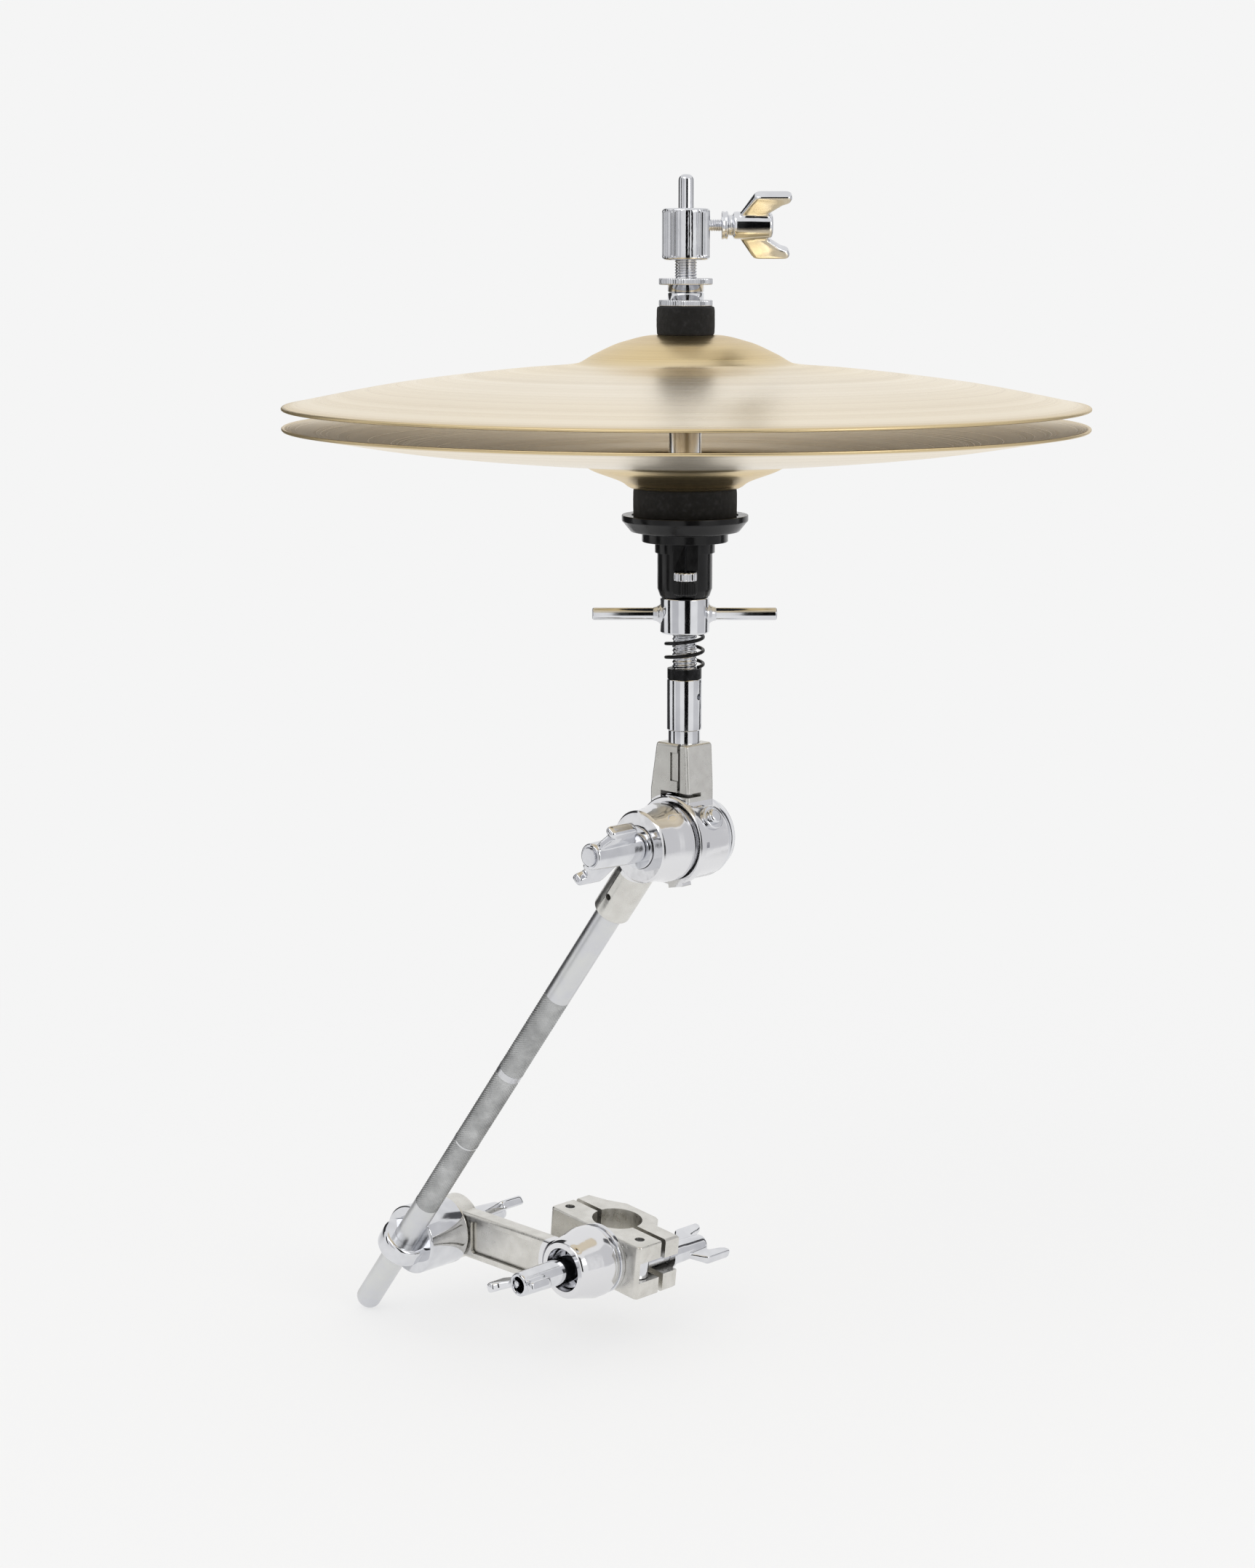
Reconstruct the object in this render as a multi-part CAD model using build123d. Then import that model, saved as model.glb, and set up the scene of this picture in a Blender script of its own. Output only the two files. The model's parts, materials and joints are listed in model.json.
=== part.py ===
from build123d import *
import math
import os

# Closed hi-hat on a short boom arm with a multi-clamp. Millimetres, +Z up along the cymbal axis.
# The origin is the centre of the stand tube that the clamp grips.
# +Y runs along the swivel axes towards the back jaw, +X from the boom clamp towards the swivel.

# ---- stand clamp, drawn upright and then leaned about Y ----
CLAMP_LEAN = 6.0
STAND_TUBE_R = 12.7
JAW_LEFT = -31.0
JAW_RIGHT = 33.0
JAW_HEIGHT = 28.0
JAW_FRONT = -17.0
JAW_PARTING = 1.5
JAW_BACK = 11.0
JAW_BELLY = 18.5
JAW_EDGE = 1.0
JAW_ROUND = 2.5
PIN_SPACING = 50.0
PIN_Y = -9.0
PIN_R = 2.5
PIN_RECESS = 0.6
KNUCKLE_R = 6.0
KNUCKLE_HALF = 4.8
KNUCKLE_CLEARANCE = 0.4
JAW_BOLT_R = 3.0
JAW_BOLT_END = 34.0
JAW_WASHER_T = 1.6
BOLT_SLOT_HALF = 4.2

# ---- clearances ----
RUNNING = 0.05
FACE_GAP = 0.3

# ---- swivel and link bar ----
SWIVEL_X = 7.0
DISC_R = 17.5
DISC_T = 2.8
DISC_COUNT = 2
CONE_BASE_R = 18.0
CONE_MOUTH_R = 14.5
CONE_LEN = 21.0
CONE_BORE_R = 11.0
CONE_FLOOR = 5.0
SWIVEL_BOLT_R = 4.0
LINK_LENGTH = 87.0
LINK_WEB_T = 9.0
LINK_HALF_HEIGHT = 12.0
LINK_PANEL_DEPTH = 2.0
LINK_PANEL_MARGIN = 3.5
LINK_EYE_R = 16.5
LINK_EYE_T = 11.0

# ---- boom clamp ----
CUP_R = 17.5
CUP_LEN = 24.0
CUP_TO_BOOM = 4.0
EYE_WIRE = 6.0
EYE_STUD_R = 4.0
REAR_BOSS_R = 10.0
REAR_BOSS_T = 4.0

# ---- boom arm ----
BOOM_R = 6.35
BOOM_LEAN = 37.4
BOOM_REACH = 291.6
BOOM_TAIL = 50.0
BOOM_SOCKET_END = 44.0
KNURL_DEPTH = 0.6
KNURL_BANDS = ((103.0, 156.0), (160.0, 210.0), (211.0, 260.0))

# ---- tilter ----
BARREL_R = 16.5
BARREL_FLARE_R = 18.0
BARREL_LEN = 19.5
SOCKET_R = 8.8
BOOM_TO_STEM = 19.8
HEAD_R = 19.0
HEAD_LEN = 19.5
HEAD_COLLAR_R = 20.4
HEAD_COLLAR_T = 3.5
CAP_R = 17.2
CAP_T = 9.0
TILTER_BOLT_R = 4.0
TILTER_BOLT_OUT = 31.0
TILTER_WING_TURN = 49.0
SWIVEL_WING_TURN = 15.0
JAW_WING_TURN = 20.0
YOKE_TOP = 44.5
YOKE_WAIST = 22.5
YOKE_NOTCH_H = 1.8
YOKE_NOTCH_LEG = 7.0
YOKE_HALF_TOP = 9.6
YOKE_LEFT_LOW = 13.4
YOKE_RIGHT_LOW = 10.6
YOKE_DEPTH = 17.0
YOKE_SLIT = 1.8
YOKE_SLIT_X = 5.6
YOKE_POCKET_DEPTH = 0.6
KEY_BOLT_R = 2.0
KEY_HEAD_R = 3.3
KEY_RECESS_R = 1.5
KEY_BOLT_Z = 17.5
STOP_LUG_LEN = 5.5
STOP_LUG_H = 0.8

# ---- post: heights above the tilter axis ----
STEM_R = 7.2
STEM_TOP = 50.0
STEM_FOOT = 24.0
SLEEVE_R = 7.9
SLEEVE_TOP = 73.5
SPRING_SEAT_R = 9.0
SPRING_SEAT_TOP = 78.0
THREAD_R = 5.7
THREAD_TOP = 131.0
ROD_R = 3.4
ROD_TOP = 295.4
SPRING_WIRE = 1.6
SPRING_R = 8.35
SPRING_TURNS = 2.25
HUB_BOTTOM = 94.0
HUB_HEIGHT = 16.4
HUB_R = 11.1
HANDLE_SPAN = 82.7
HANDLE_ROD_R = 2.85
HANDLE_TURN = 45.0

# ---- cymbal seat: heights above the handle hub ----
BASE_HEIGHT = 24.0
BASE_R = 12.3
BASE_NECK_R = 13.4
BASE_NECK_H = 4.5
SEAT_RIM_R = 28.2
SEAT_CUP_H = 11.5
SEAT_STEP_R = 19.2
SEAT_STEP_H = 4.0
SEAT_TUBE_R = 7.3
SEAT_TUBE_BORE = 6.0
SEAT_TUBE_UP = 38.0
SEAT_FELT_R = 23.2
SEAT_FELT_H = 12.0
TILT_SCREW_R = 5.2
TILT_SCREW_H = 6.4
TILT_CAP_H = 3.9
TILT_SPINDLE_R = 2.0
SCREW_PROUD = 2.0
SCREW_LIFT = 2.0

# ---- cymbals ----
CYMBAL_R = 177.8
CYMBAL_T = 1.3
BELL_R = 48.5
EDGE_GAP = 10.0
TOP_BOW = 18.0
TOP_BELL = 12.5
BOTTOM_BOW = 15.5
BOTTOM_BELL = 11.0
TOP_CROWN_R = 13.5
BOTTOM_CROWN_R = 24.0

# ---- clutch ----
CLUTCH_FELT_R = 12.9
CLUTCH_FELT_H = 12.5
LOWER_FELT_H = 9.0
LOCK_FLANGE_R = 11.8
LOCK_FLANGE_H = 2.8
LOCK_HUB_R = 8.0
LOCK_HUB_H = 3.3
CLUTCH_TUBE_R = 5.0
CLUTCH_NECK = 7.8
CLUTCH_BODY_R = 10.5
CLUTCH_BODY_H = 22.4
CLUTCH_SCREW_R = 2.7
CLUTCH_WING_TURN = 35.0
BOTTOM_NUT_R = 17.0
BOTTOM_NUT_H = 8.0

# ---- places worked out from the sizes above ----
LEAN = math.radians(BOOM_LEAN)
BOOM_DIR = Vector(math.sin(LEAN), 0, math.cos(LEAN))
SWIVEL_FACE = JAW_FRONT
JAW_WASHER_Y = JAW_BACK + 0.1
CONE_BACK = SWIVEL_FACE - DISC_COUNT * DISC_T
CONE_MOUTH = CONE_BACK - CONE_LEN
SWIVEL_POINT = Vector(SWIVEL_X * math.cos(math.radians(CLAMP_LEAN)), 0,
                      -SWIVEL_X * math.sin(math.radians(CLAMP_LEAN)))
CLAMP_POINT = SWIVEL_POINT - Vector(LINK_LENGTH, 0, 0)
LINK_FRONT = CONE_MOUTH
LINK_BACK = LINK_FRONT + LINK_EYE_T
CUP_BACK = LINK_FRONT - FACE_GAP
BOOM_Y = CUP_BACK - CUP_LEN - CUP_TO_BOOM
TILTER = CLAMP_POINT + BOOM_DIR * BOOM_REACH
STEM_Y = BOOM_Y + BOOM_TO_STEM
BARREL_FRONT = BOOM_Y - BARREL_LEN / 2
BARREL_BACK = BOOM_Y + BARREL_LEN / 2
HEAD_FRONT = BARREL_BACK + FACE_GAP
HEAD_BACK = HEAD_FRONT + HEAD_LEN
POST = Vector(TILTER.X, STEM_Y, TILTER.Z)
HUB_TOP = HUB_BOTTOM + HUB_HEIGHT
HANDLE_Z = HUB_BOTTOM + HUB_HEIGHT * 0.52
BASE_TOP = HUB_TOP + FACE_GAP + BASE_HEIGHT
SCREW_OUT = BASE_R + SCREW_PROUD
SCREW_DIR = Vector(0, -1, 0).rotate(Axis.Z, HANDLE_TURN)
SCREW_Z = HUB_TOP + FACE_GAP + SCREW_LIFT
SCREW_TOP = SCREW_Z + TILT_SCREW_H + TILT_CAP_H
CUP_BOTTOM = BASE_TOP + FACE_GAP
CUP_TOP = CUP_BOTTOM + SEAT_STEP_H + SEAT_CUP_H - 3.5
SEAT_FELT_TOP = CUP_TOP + SEAT_FELT_H
BOTTOM_EDGE = SEAT_FELT_TOP + BOTTOM_BELL + BOTTOM_BOW
TOP_EDGE = BOTTOM_EDGE + EDGE_GAP
TOP_CROWN = TOP_EDGE + TOP_BOW + TOP_BELL
CLUTCH_FELT_TOP = TOP_CROWN + CLUTCH_FELT_H
LOCK_BOTTOM = CLUTCH_FELT_TOP
LOCK_NUT_H = LOCK_FLANGE_H + LOCK_HUB_H
LOCK_TOP = LOCK_BOTTOM + 2 * LOCK_NUT_H
CLUTCH_BOTTOM = LOCK_TOP + CLUTCH_NECK
CLUTCH_TOP = CLUTCH_BOTTOM + CLUTCH_BODY_H
CLUTCH_SCREW_Z = CLUTCH_BOTTOM + 15.0
LOWER_FELT_TOP = TOP_CROWN - CYMBAL_T
LOWER_FELT_BOTTOM = LOWER_FELT_TOP - LOWER_FELT_H


def drum(radius, start, end):
    """A cylinder along Z between two heights."""
    return Pos(0, 0, (start + end) / 2) * Cylinder(radius, abs(end - start))


def ring(outer, inner, start, end):
    """A tube along Z between two heights."""
    return drum(outer, start, end) - drum(inner, start - 1, end + 1)


def slab(x0, x1, y0, y1, z0, z1):
    """A box given by its limits."""
    return Pos((x0 + x1) / 2, (y0 + y1) / 2, (z0 + z1) / 2) * Box(x1 - x0, y1 - y0, z1 - z0)


def turned(points):
    """A solid turned about Z from (radius, height) corners."""
    profile = Polyline(*[(r, 0, z) for r, z in points], close=True)
    return revolve(make_face(profile), Axis.Z)


def along_y(shape, x=0.0, y=0.0, z=0.0):
    """Lay a shape drawn along +Z along +Y, with its base at the given point."""
    return Pos(x, y, z) * Rot(-90, 0, 0) * shape


def along_minus_y(shape, x=0.0, y=0.0, z=0.0):
    """Lay a shape drawn along +Z along -Y, with its base at the given point."""
    return Pos(x, y, z) * Rot(90, 0, 0) * shape


def on_post(shape):
    """Place a shape drawn about Z, with heights above the tilter axis, on the post."""
    return Pos(POST.X, POST.Y, POST.Z) * shape


def on_boom(shape):
    """Place a shape drawn along Z, with Z the distance from the tilter axis, down the boom."""
    return Pos(TILTER.X, BOOM_Y, TILTER.Z) * Rot(0, 180 + BOOM_LEAN, 0) * shape


def leaned(shape):
    """Lean an upright clamp part about the origin."""
    return Rot(0, CLAMP_LEAN, 0) * shape


def wing_screw(hub_r, hub_len, root, reach, half_span, thick):
    """A cast wing head along +Z: a hub with two blades that widen and lean outwards."""
    hub = drum(hub_r, 0, hub_len)
    hub = fillet(hub.edges().filter_by(GeomType.CIRCLE), 0.8)
    blade = Polyline((hub_r * 0.5, root), (hub_r, root), (half_span, root + (reach - root) * 0.3),
                     (half_span, reach), (half_span - 4.0, reach - 0.6), (hub_r * 1.1, hub_len - 2.0),
                     (hub_r * 0.5, hub_len - 2.0), close=True)
    wing = extrude(Plane.XZ * make_face(blade), thick / 2, both=True)
    wing = fillet(wing.edges().filter_by(Axis.Y), 0.9)
    return hub + wing + Rot(0, 0, 180) * wing


def front_jaw():
    """Front jaw: half the tube seat, knuckle slots at both ends and the swivel boss hole."""
    half = JAW_HEIGHT / 2
    body = slab(JAW_LEFT, JAW_RIGHT, JAW_FRONT, -JAW_PARTING, -half, half)
    body = fillet(body.edges().filter_by(Axis.Z).group_by(Axis.Y)[0], JAW_ROUND)
    body = fillet(body.faces().sort_by(Axis.Y)[0].edges(), JAW_EDGE)
    body -= drum(STAND_TUBE_R, -half - 1, half + 1)
    slot_half = KNUCKLE_HALF + KNUCKLE_CLEARANCE
    slot_floor = PIN_Y - KNUCKLE_R - KNUCKLE_CLEARANCE
    inner = PIN_SPACING / 2 - KNUCKLE_R - KNUCKLE_CLEARANCE
    body -= slab(JAW_LEFT - 1, -inner, slot_floor, 0, -slot_half, slot_half)
    body -= slab(inner, JAW_RIGHT + 1, slot_floor, 0, -slot_half, slot_half)
    for side in (-1, 1):
        body -= Pos(side * PIN_SPACING / 2, PIN_Y, 0) * drum(PIN_R, -half - 1, half + 1)
    return leaned(body)


def rear_jaw():
    """Rear jaw: bellied back, the other half of the seat, a knuckle and an open bolt slot."""
    half = JAW_HEIGHT / 2
    outline = Polyline((JAW_LEFT, JAW_PARTING), (JAW_RIGHT, JAW_PARTING), (JAW_RIGHT, JAW_BACK),
                       (17.0, JAW_BACK), (11.0, JAW_BELLY), (-11.0, JAW_BELLY), (-20.0, 13.5),
                       (JAW_LEFT, 10.0), close=True)
    body = extrude(make_face(outline), half, both=True)
    body = fillet(body.edges().filter_by(Axis.Z).group_by(Axis.Y)[-1], JAW_ROUND)
    rims = body.faces().filter_by(Axis.Z).edges()
    body = chamfer(rims.filter_by(lambda e: e.center().Y > 3.0), JAW_EDGE)
    body -= drum(STAND_TUBE_R, -half - 1, half + 1)
    pin_x = PIN_SPACING / 2
    knuckle = Pos(-pin_x, PIN_Y, 0) * drum(KNUCKLE_R, -KNUCKLE_HALF, KNUCKLE_HALF)
    knuckle += slab(-pin_x - KNUCKLE_R, -pin_x + KNUCKLE_R, PIN_Y, JAW_PARTING + 1,
                    -KNUCKLE_HALF, KNUCKLE_HALF)
    body += knuckle
    body -= Pos(-pin_x, PIN_Y, 0) * drum(PIN_R + RUNNING, -half, half)
    slot_in = pin_x - BOLT_SLOT_HALF
    body -= slab(slot_in, JAW_RIGHT + 1, 0, JAW_BELLY, -BOLT_SLOT_HALF, BOLT_SLOT_HALF)
    return leaned(body)


def jaw_pins():
    """The hinge pin and the bolt pin, pressed into the front jaw."""
    half = JAW_HEIGHT / 2 - PIN_RECESS
    pins = [Pos(side * PIN_SPACING / 2, PIN_Y, 0) * drum(PIN_R, -half, half) for side in (-1, 1)]
    return [leaned(pin) for pin in pins]


def jaw_swing_bolt():
    """Eye bolt that swings on its pin and carries the jaw's wing nut."""
    x = PIN_SPACING / 2
    eye = Pos(x, PIN_Y, 0) * drum(KNUCKLE_R - 0.4, -KNUCKLE_HALF, KNUCKLE_HALF)
    shank = along_y(drum(JAW_BOLT_R, 0, JAW_BOLT_END - PIN_Y), x, PIN_Y, 0)
    bolt = eye + shank - Pos(x, PIN_Y, 0) * drum(PIN_R, -KNUCKLE_HALF - 1, KNUCKLE_HALF + 1)
    return leaned(bolt)


def jaw_washer():
    """Washer between the rear jaw and its wing nut."""
    disc = ring(6.8, JAW_BOLT_R + RUNNING, 0, JAW_WASHER_T)
    return leaned(along_y(disc, PIN_SPACING / 2, JAW_WASHER_Y, 0))


def jaw_wing_nut():
    """Wing nut that draws the rear jaw in."""
    nut = wing_screw(5.6, 24.0, 9.0, 33.0, 13.0, 3.4) - drum(JAW_BOLT_R + RUNNING, -1, 25)
    nut = Rot(0, 0, JAW_WING_TURN) * nut
    return leaned(along_y(nut, PIN_SPACING / 2, JAW_WASHER_Y + JAW_WASHER_T + 0.1, 0))


def swivel_discs():
    """Thin toothed discs between the front jaw and the link cone."""
    discs = []
    for index in range(DISC_COUNT):
        start = index * DISC_T
        disc = ring(DISC_R - 0.7 * index, SWIVEL_BOLT_R, start, start + DISC_T)
        disc = fillet(disc.edges().filter_by(GeomType.CIRCLE).sort_by(SortBy.RADIUS)[-2:], 0.6)
        discs.append(along_minus_y(disc, SWIVEL_POINT.X, SWIVEL_FACE, SWIVEL_POINT.Z))
    return discs


def swivel_cone():
    """Chromed cone at the swivel end of the link, open towards the wing bolt."""
    back = -FACE_GAP
    cone = turned([(0, -back), (CONE_BASE_R - 0.8, -back), (CONE_BASE_R, -back + 0.8),
                   (CONE_BASE_R, 6.0), (CONE_MOUTH_R, CONE_LEN - 0.8),
                   (CONE_MOUTH_R - 0.8, CONE_LEN), (0, CONE_LEN)])
    cone -= drum(CONE_BORE_R, CONE_FLOOR, CONE_LEN + 1)
    cone -= drum(SWIVEL_BOLT_R + RUNNING, -1, CONE_FLOOR + 1)
    return along_minus_y(cone, SWIVEL_POINT.X, CONE_BACK, SWIVEL_POINT.Z)


def link_web():
    """Flat bar of the link, with its sunk panel, between the boom clamp eye and the cone."""
    x0 = CLAMP_POINT.X
    x1 = SWIVEL_POINT.X
    z = SWIVEL_POINT.Z
    y0 = LINK_FRONT + 1.0
    y1 = y0 + LINK_WEB_T
    half = LINK_HALF_HEIGHT
    web = slab(x0, x1, y0, y1, z - half, z + half)
    web = fillet(web.edges().filter_by(Axis.X), 1.6)
    eye = along_y(drum(LINK_EYE_R, 0, LINK_EYE_T), x0, LINK_FRONT, z)
    eye = fillet(eye.edges().filter_by(GeomType.CIRCLE), 1.2)
    boss = along_y(drum(REAR_BOSS_R, 0, REAR_BOSS_T), x0, LINK_BACK - 0.01, z)
    panel_x0 = x0 + LINK_EYE_R + 2.0
    panel_x1 = x1 - CONE_BASE_R - 2.0
    inner = half - LINK_PANEL_MARGIN
    for y_low, y_high in ((y0 - 1, y0 + LINK_PANEL_DEPTH), (y1 - LINK_PANEL_DEPTH, y1 + 1)):
        panel = slab(panel_x0, panel_x1, y_low, y_high, z - inner, z + inner)
        web -= fillet(panel.edges().filter_by(Axis.Y), 2.0)
    web += eye + boss
    web -= along_minus_y(drum(CONE_BASE_R - 2.5, 0, 60), x1, CONE_BACK + 10, z)
    web -= along_y(drum(EYE_STUD_R + RUNNING, -1, LINK_EYE_T + REAR_BOSS_T + 1), x0, LINK_FRONT, z)
    return web


def link_bar():
    """The whole link casting: cone, bar and boom clamp eye in one piece."""
    cone = swivel_cone()
    web = link_web()
    bore = drum(CONE_BORE_R, CONE_FLOOR, CONE_LEN + 1)
    return cone + (web - along_minus_y(bore, SWIVEL_POINT.X, CONE_BACK, SWIVEL_POINT.Z))


def swivel_stud():
    """Stud fixed in the front jaw that carries the discs and the link."""
    length = DISC_COUNT * DISC_T + CONE_FLOOR + 8.0
    return along_minus_y(drum(SWIVEL_BOLT_R, 0, length), SWIVEL_POINT.X, SWIVEL_FACE, SWIVEL_POINT.Z)


def swivel_wing_nut():
    """Wing nut whose hub sinks into the cone and presses its floor."""
    hub = wing_screw(6.6, 46.0, 33.0, 52.0, 17.0, 3.6)
    nut = hub + drum(9.5, 0, 3.0)
    nut -= drum(SWIVEL_BOLT_R + RUNNING, -1, 50)
    nut = Rot(0, 0, SWIVEL_WING_TURN) * nut
    return along_minus_y(nut, SWIVEL_POINT.X, CONE_BACK - CONE_FLOOR - 0.1, SWIVEL_POINT.Z)


def boom_cup():
    """Chromed cup that backs the eye bolt; its mouth is notched for the boom."""
    cup = drum(CUP_R, 0, CUP_LEN)
    cup = fillet(cup.edges().filter_by(GeomType.CIRCLE).sort_by(Axis.Z)[-1], 1.2)
    cup -= drum(EYE_STUD_R, -1, CUP_LEN + 1)
    cup = along_minus_y(cup, CLAMP_POINT.X, CUP_BACK, CLAMP_POINT.Z)
    saddle = drum(BOOM_R + RUNNING, BOOM_REACH - 60, BOOM_REACH + 60)
    return cup - on_boom(saddle)


def eye_bolt():
    """Eye bolt whose ring goes round the boom and whose stud passes through cup and link."""
    along = BOOM_REACH
    shell = drum(BOOM_R + EYE_WIRE, along - 5.5, along + 5.5)
    shell = fillet(shell.edges().filter_by(GeomType.CIRCLE), 2.4)
    eye = on_boom(shell - drum(BOOM_R + RUNNING, along - 10, along + 10))
    eye = eye - along_minus_y(drum(CUP_R + 2, 0, CUP_LEN), CLAMP_POINT.X, CUP_BACK, CLAMP_POINT.Z)
    length = LINK_BACK + REAR_BOSS_T + 24.0 - (BOOM_Y + BOOM_R + 0.2)
    stud = along_y(drum(EYE_STUD_R, 0, length), CLAMP_POINT.X, BOOM_Y + BOOM_R + 0.2, CLAMP_POINT.Z)
    return [eye, stud]


def boom_wing_nut():
    """Wing nut at the back of the link that tightens the eye bolt."""
    nut = wing_screw(6.4, 20.0, 6.0, 26.0, 15.0, 3.6) - drum(EYE_STUD_R + RUNNING, -1, 30)
    nut = Rot(0, 0, -35) * nut
    return along_y(nut, CLAMP_POINT.X, LINK_BACK + REAR_BOSS_T + 2.0, CLAMP_POINT.Z)


def boom_washer():
    """Sprung washer under the boom wing nut."""
    disc = ring(8.5, EYE_STUD_R + RUNNING, 0, 1.6)
    return along_y(disc, CLAMP_POINT.X, LINK_BACK + REAR_BOSS_T + 0.1, CLAMP_POINT.Z)


def boom_tube():
    """Half-inch boom bar with a rounded tail."""
    bar = drum(BOOM_R, BOOM_SOCKET_END - 20, BOOM_REACH + BOOM_TAIL)
    bar = fillet(bar.edges().filter_by(GeomType.CIRCLE).sort_by(Axis.Z)[-1], 4.5)
    for start, end in KNURL_BANDS:
        bar -= ring(BOOM_R + 1, BOOM_R - KNURL_DEPTH, start, end)
    return on_boom(bar)


def knurled_band(index):
    """A knurled band of the boom, flush with the bar so that the eye passes over it."""
    start, end = KNURL_BANDS[index]
    return on_boom(ring(BOOM_R, BOOM_R - KNURL_DEPTH, start, end))


def arm_barrel():
    """Tilter half fixed to the boom: a flared barrel with the boom socket below it."""
    barrel = turned([(0, 0), (BARREL_R - 1, 0), (BARREL_R, 1), (BARREL_R, 8), (BARREL_FLARE_R, 14),
                     (BARREL_FLARE_R, BARREL_LEN - 1.3),
                     (BARREL_R, BARREL_LEN - 1.3), (BARREL_R, BARREL_LEN), (0, BARREL_LEN)])
    barrel = along_y(barrel, TILTER.X, BARREL_FRONT, TILTER.Z)
    socket = drum(SOCKET_R, 0, BOOM_SOCKET_END)
    socket = fillet(socket.edges().filter_by(GeomType.CIRCLE).sort_by(Axis.Z)[-1], 1.0)
    body = barrel + on_boom(socket)
    body -= on_boom(drum(BOOM_R, BOOM_SOCKET_END - 20, BOOM_SOCKET_END + 5))
    body -= along_y(drum(TILTER_BOLT_R + RUNNING, -5, 40), TILTER.X, BARREL_FRONT, TILTER.Z)
    body -= along_y(drum(10.0, -1, 3.0), TILTER.X, BARREL_FRONT, TILTER.Z)
    pin_hole = Pos(0, 0, BOOM_SOCKET_END - 11) * Rot(90, 0, 0) * drum(1.5, BOOM_R, SOCKET_R + 2)
    return body - on_boom(pin_hole)


def tilter_bolt():
    """Bolt through both halves of the tilter, fixed in the head."""
    length = HEAD_FRONT - BARREL_FRONT + TILTER_BOLT_OUT
    return along_minus_y(drum(TILTER_BOLT_R, -HEAD_LEN + 4, length), TILTER.X, HEAD_FRONT, TILTER.Z)


def tilter_washer():
    """Stepped washer in the barrel mouth, under the wing nut."""
    disc = ring(9.7, TILTER_BOLT_R + RUNNING, -2.6, 1.2)
    return along_minus_y(disc, TILTER.X, BARREL_FRONT, TILTER.Z)


def tilter_wing_nut():
    """Wing nut that locks the tilter."""
    nut = wing_screw(6.7, 29.0, 6.0, 27.0, 18.0, 4.0) - drum(TILTER_BOLT_R + RUNNING, -1, 30)
    nut = Rot(0, 0, TILTER_WING_TURN) * nut
    return along_minus_y(nut, TILTER.X, BARREL_FRONT - 1.4, TILTER.Z)


def yoke():
    """Tapered block above the head, with a grip slit, a shallow pocket and the notch that frees a jaw."""
    outline = Polyline((-YOKE_LEFT_LOW, 8), (-YOKE_LEFT_LOW, YOKE_WAIST), (-YOKE_HALF_TOP, YOKE_TOP),
                       (YOKE_HALF_TOP, YOKE_TOP), (YOKE_RIGHT_LOW, YOKE_WAIST + 3), (YOKE_RIGHT_LOW, 8),
                       close=True)
    block = extrude(Plane.XZ * make_face(outline), YOKE_DEPTH / 2, both=True)
    block = fillet(block.edges().filter_by(Axis.Y).group_by(Axis.Z)[-1], 1.6)
    sides = block.edges().filter_by(lambda e: abs(e.tangent_at(0.5).Z) > 0.9)
    block = fillet(sides, 1.4)
    front = -YOKE_DEPTH / 2
    block -= slab(YOKE_SLIT_X - YOKE_SLIT, YOKE_SLIT_X, front - 1, 0, YOKE_WAIST - 1, YOKE_TOP + 1)
    block -= slab(-0.5, YOKE_SLIT_X - YOKE_SLIT + 0.1, front - 1, front + YOKE_POCKET_DEPTH, 27.5, 40.5)
    floor = YOKE_WAIST - YOKE_NOTCH_H
    block -= slab(-6.5, YOKE_RIGHT_LOW + 2, front - 1, 0, floor, YOKE_WAIST)
    return block - slab(-6.5, -3.2, front - 1, front + 4.0, floor - YOKE_NOTCH_LEG, YOKE_WAIST)


def tilter_head():
    """Head casting: a ring on the tilter axis with a tapered split yoke that grips the stem."""
    ring_part = turned([(0, 0), (HEAD_COLLAR_R - 0.6, 0), (HEAD_COLLAR_R, 0.6),
                        (HEAD_COLLAR_R, HEAD_COLLAR_T), (HEAD_R, HEAD_COLLAR_T + 1),
                        (HEAD_R, HEAD_LEN), (0, HEAD_LEN)])
    head = along_y(ring_part, TILTER.X, HEAD_FRONT, TILTER.Z)
    middle = (HEAD_FRONT + HEAD_BACK) / 2
    head += Pos(POST.X, middle, POST.Z) * yoke()
    head -= on_post(drum(STEM_R + RUNNING, STEM_FOOT, YOKE_TOP + 5))
    lug = slab(-4.5, 4.5, 0, STOP_LUG_LEN, -HEAD_COLLAR_R - STOP_LUG_H, -HEAD_R + 3)
    head += Pos(TILTER.X, HEAD_FRONT, TILTER.Z) * Rot(0, -12, 0) * lug
    head -= along_y(drum(TILTER_BOLT_R, -1, HEAD_LEN - 4), TILTER.X, HEAD_FRONT, TILTER.Z)
    key_hole = Pos(HEAD_R, HEAD_FRONT + 5.5, 0) * Box(5.0, 2.6, 2.6)
    head -= Pos(TILTER.X, 0, TILTER.Z) * key_hole
    key_seat = Pos(POST.X - YOKE_LEFT_LOW, POST.Y + 1.5, POST.Z + KEY_BOLT_Z) * Rot(0, 90, 0)
    head -= key_seat * drum(KEY_BOLT_R, -1, 4.0)
    return head - head_screw()


def head_cap():
    """Rounded cap on the back of the tilter head."""
    cap = turned([(0, 0), (CAP_R + 1.2, 0), (CAP_R + 1.2, 2.5), (CAP_R - 1, CAP_T - 2),
                  (CAP_R - 4, CAP_T), (0, CAP_T)])
    return along_y(cap, TILTER.X, HEAD_BACK, TILTER.Z)


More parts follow.
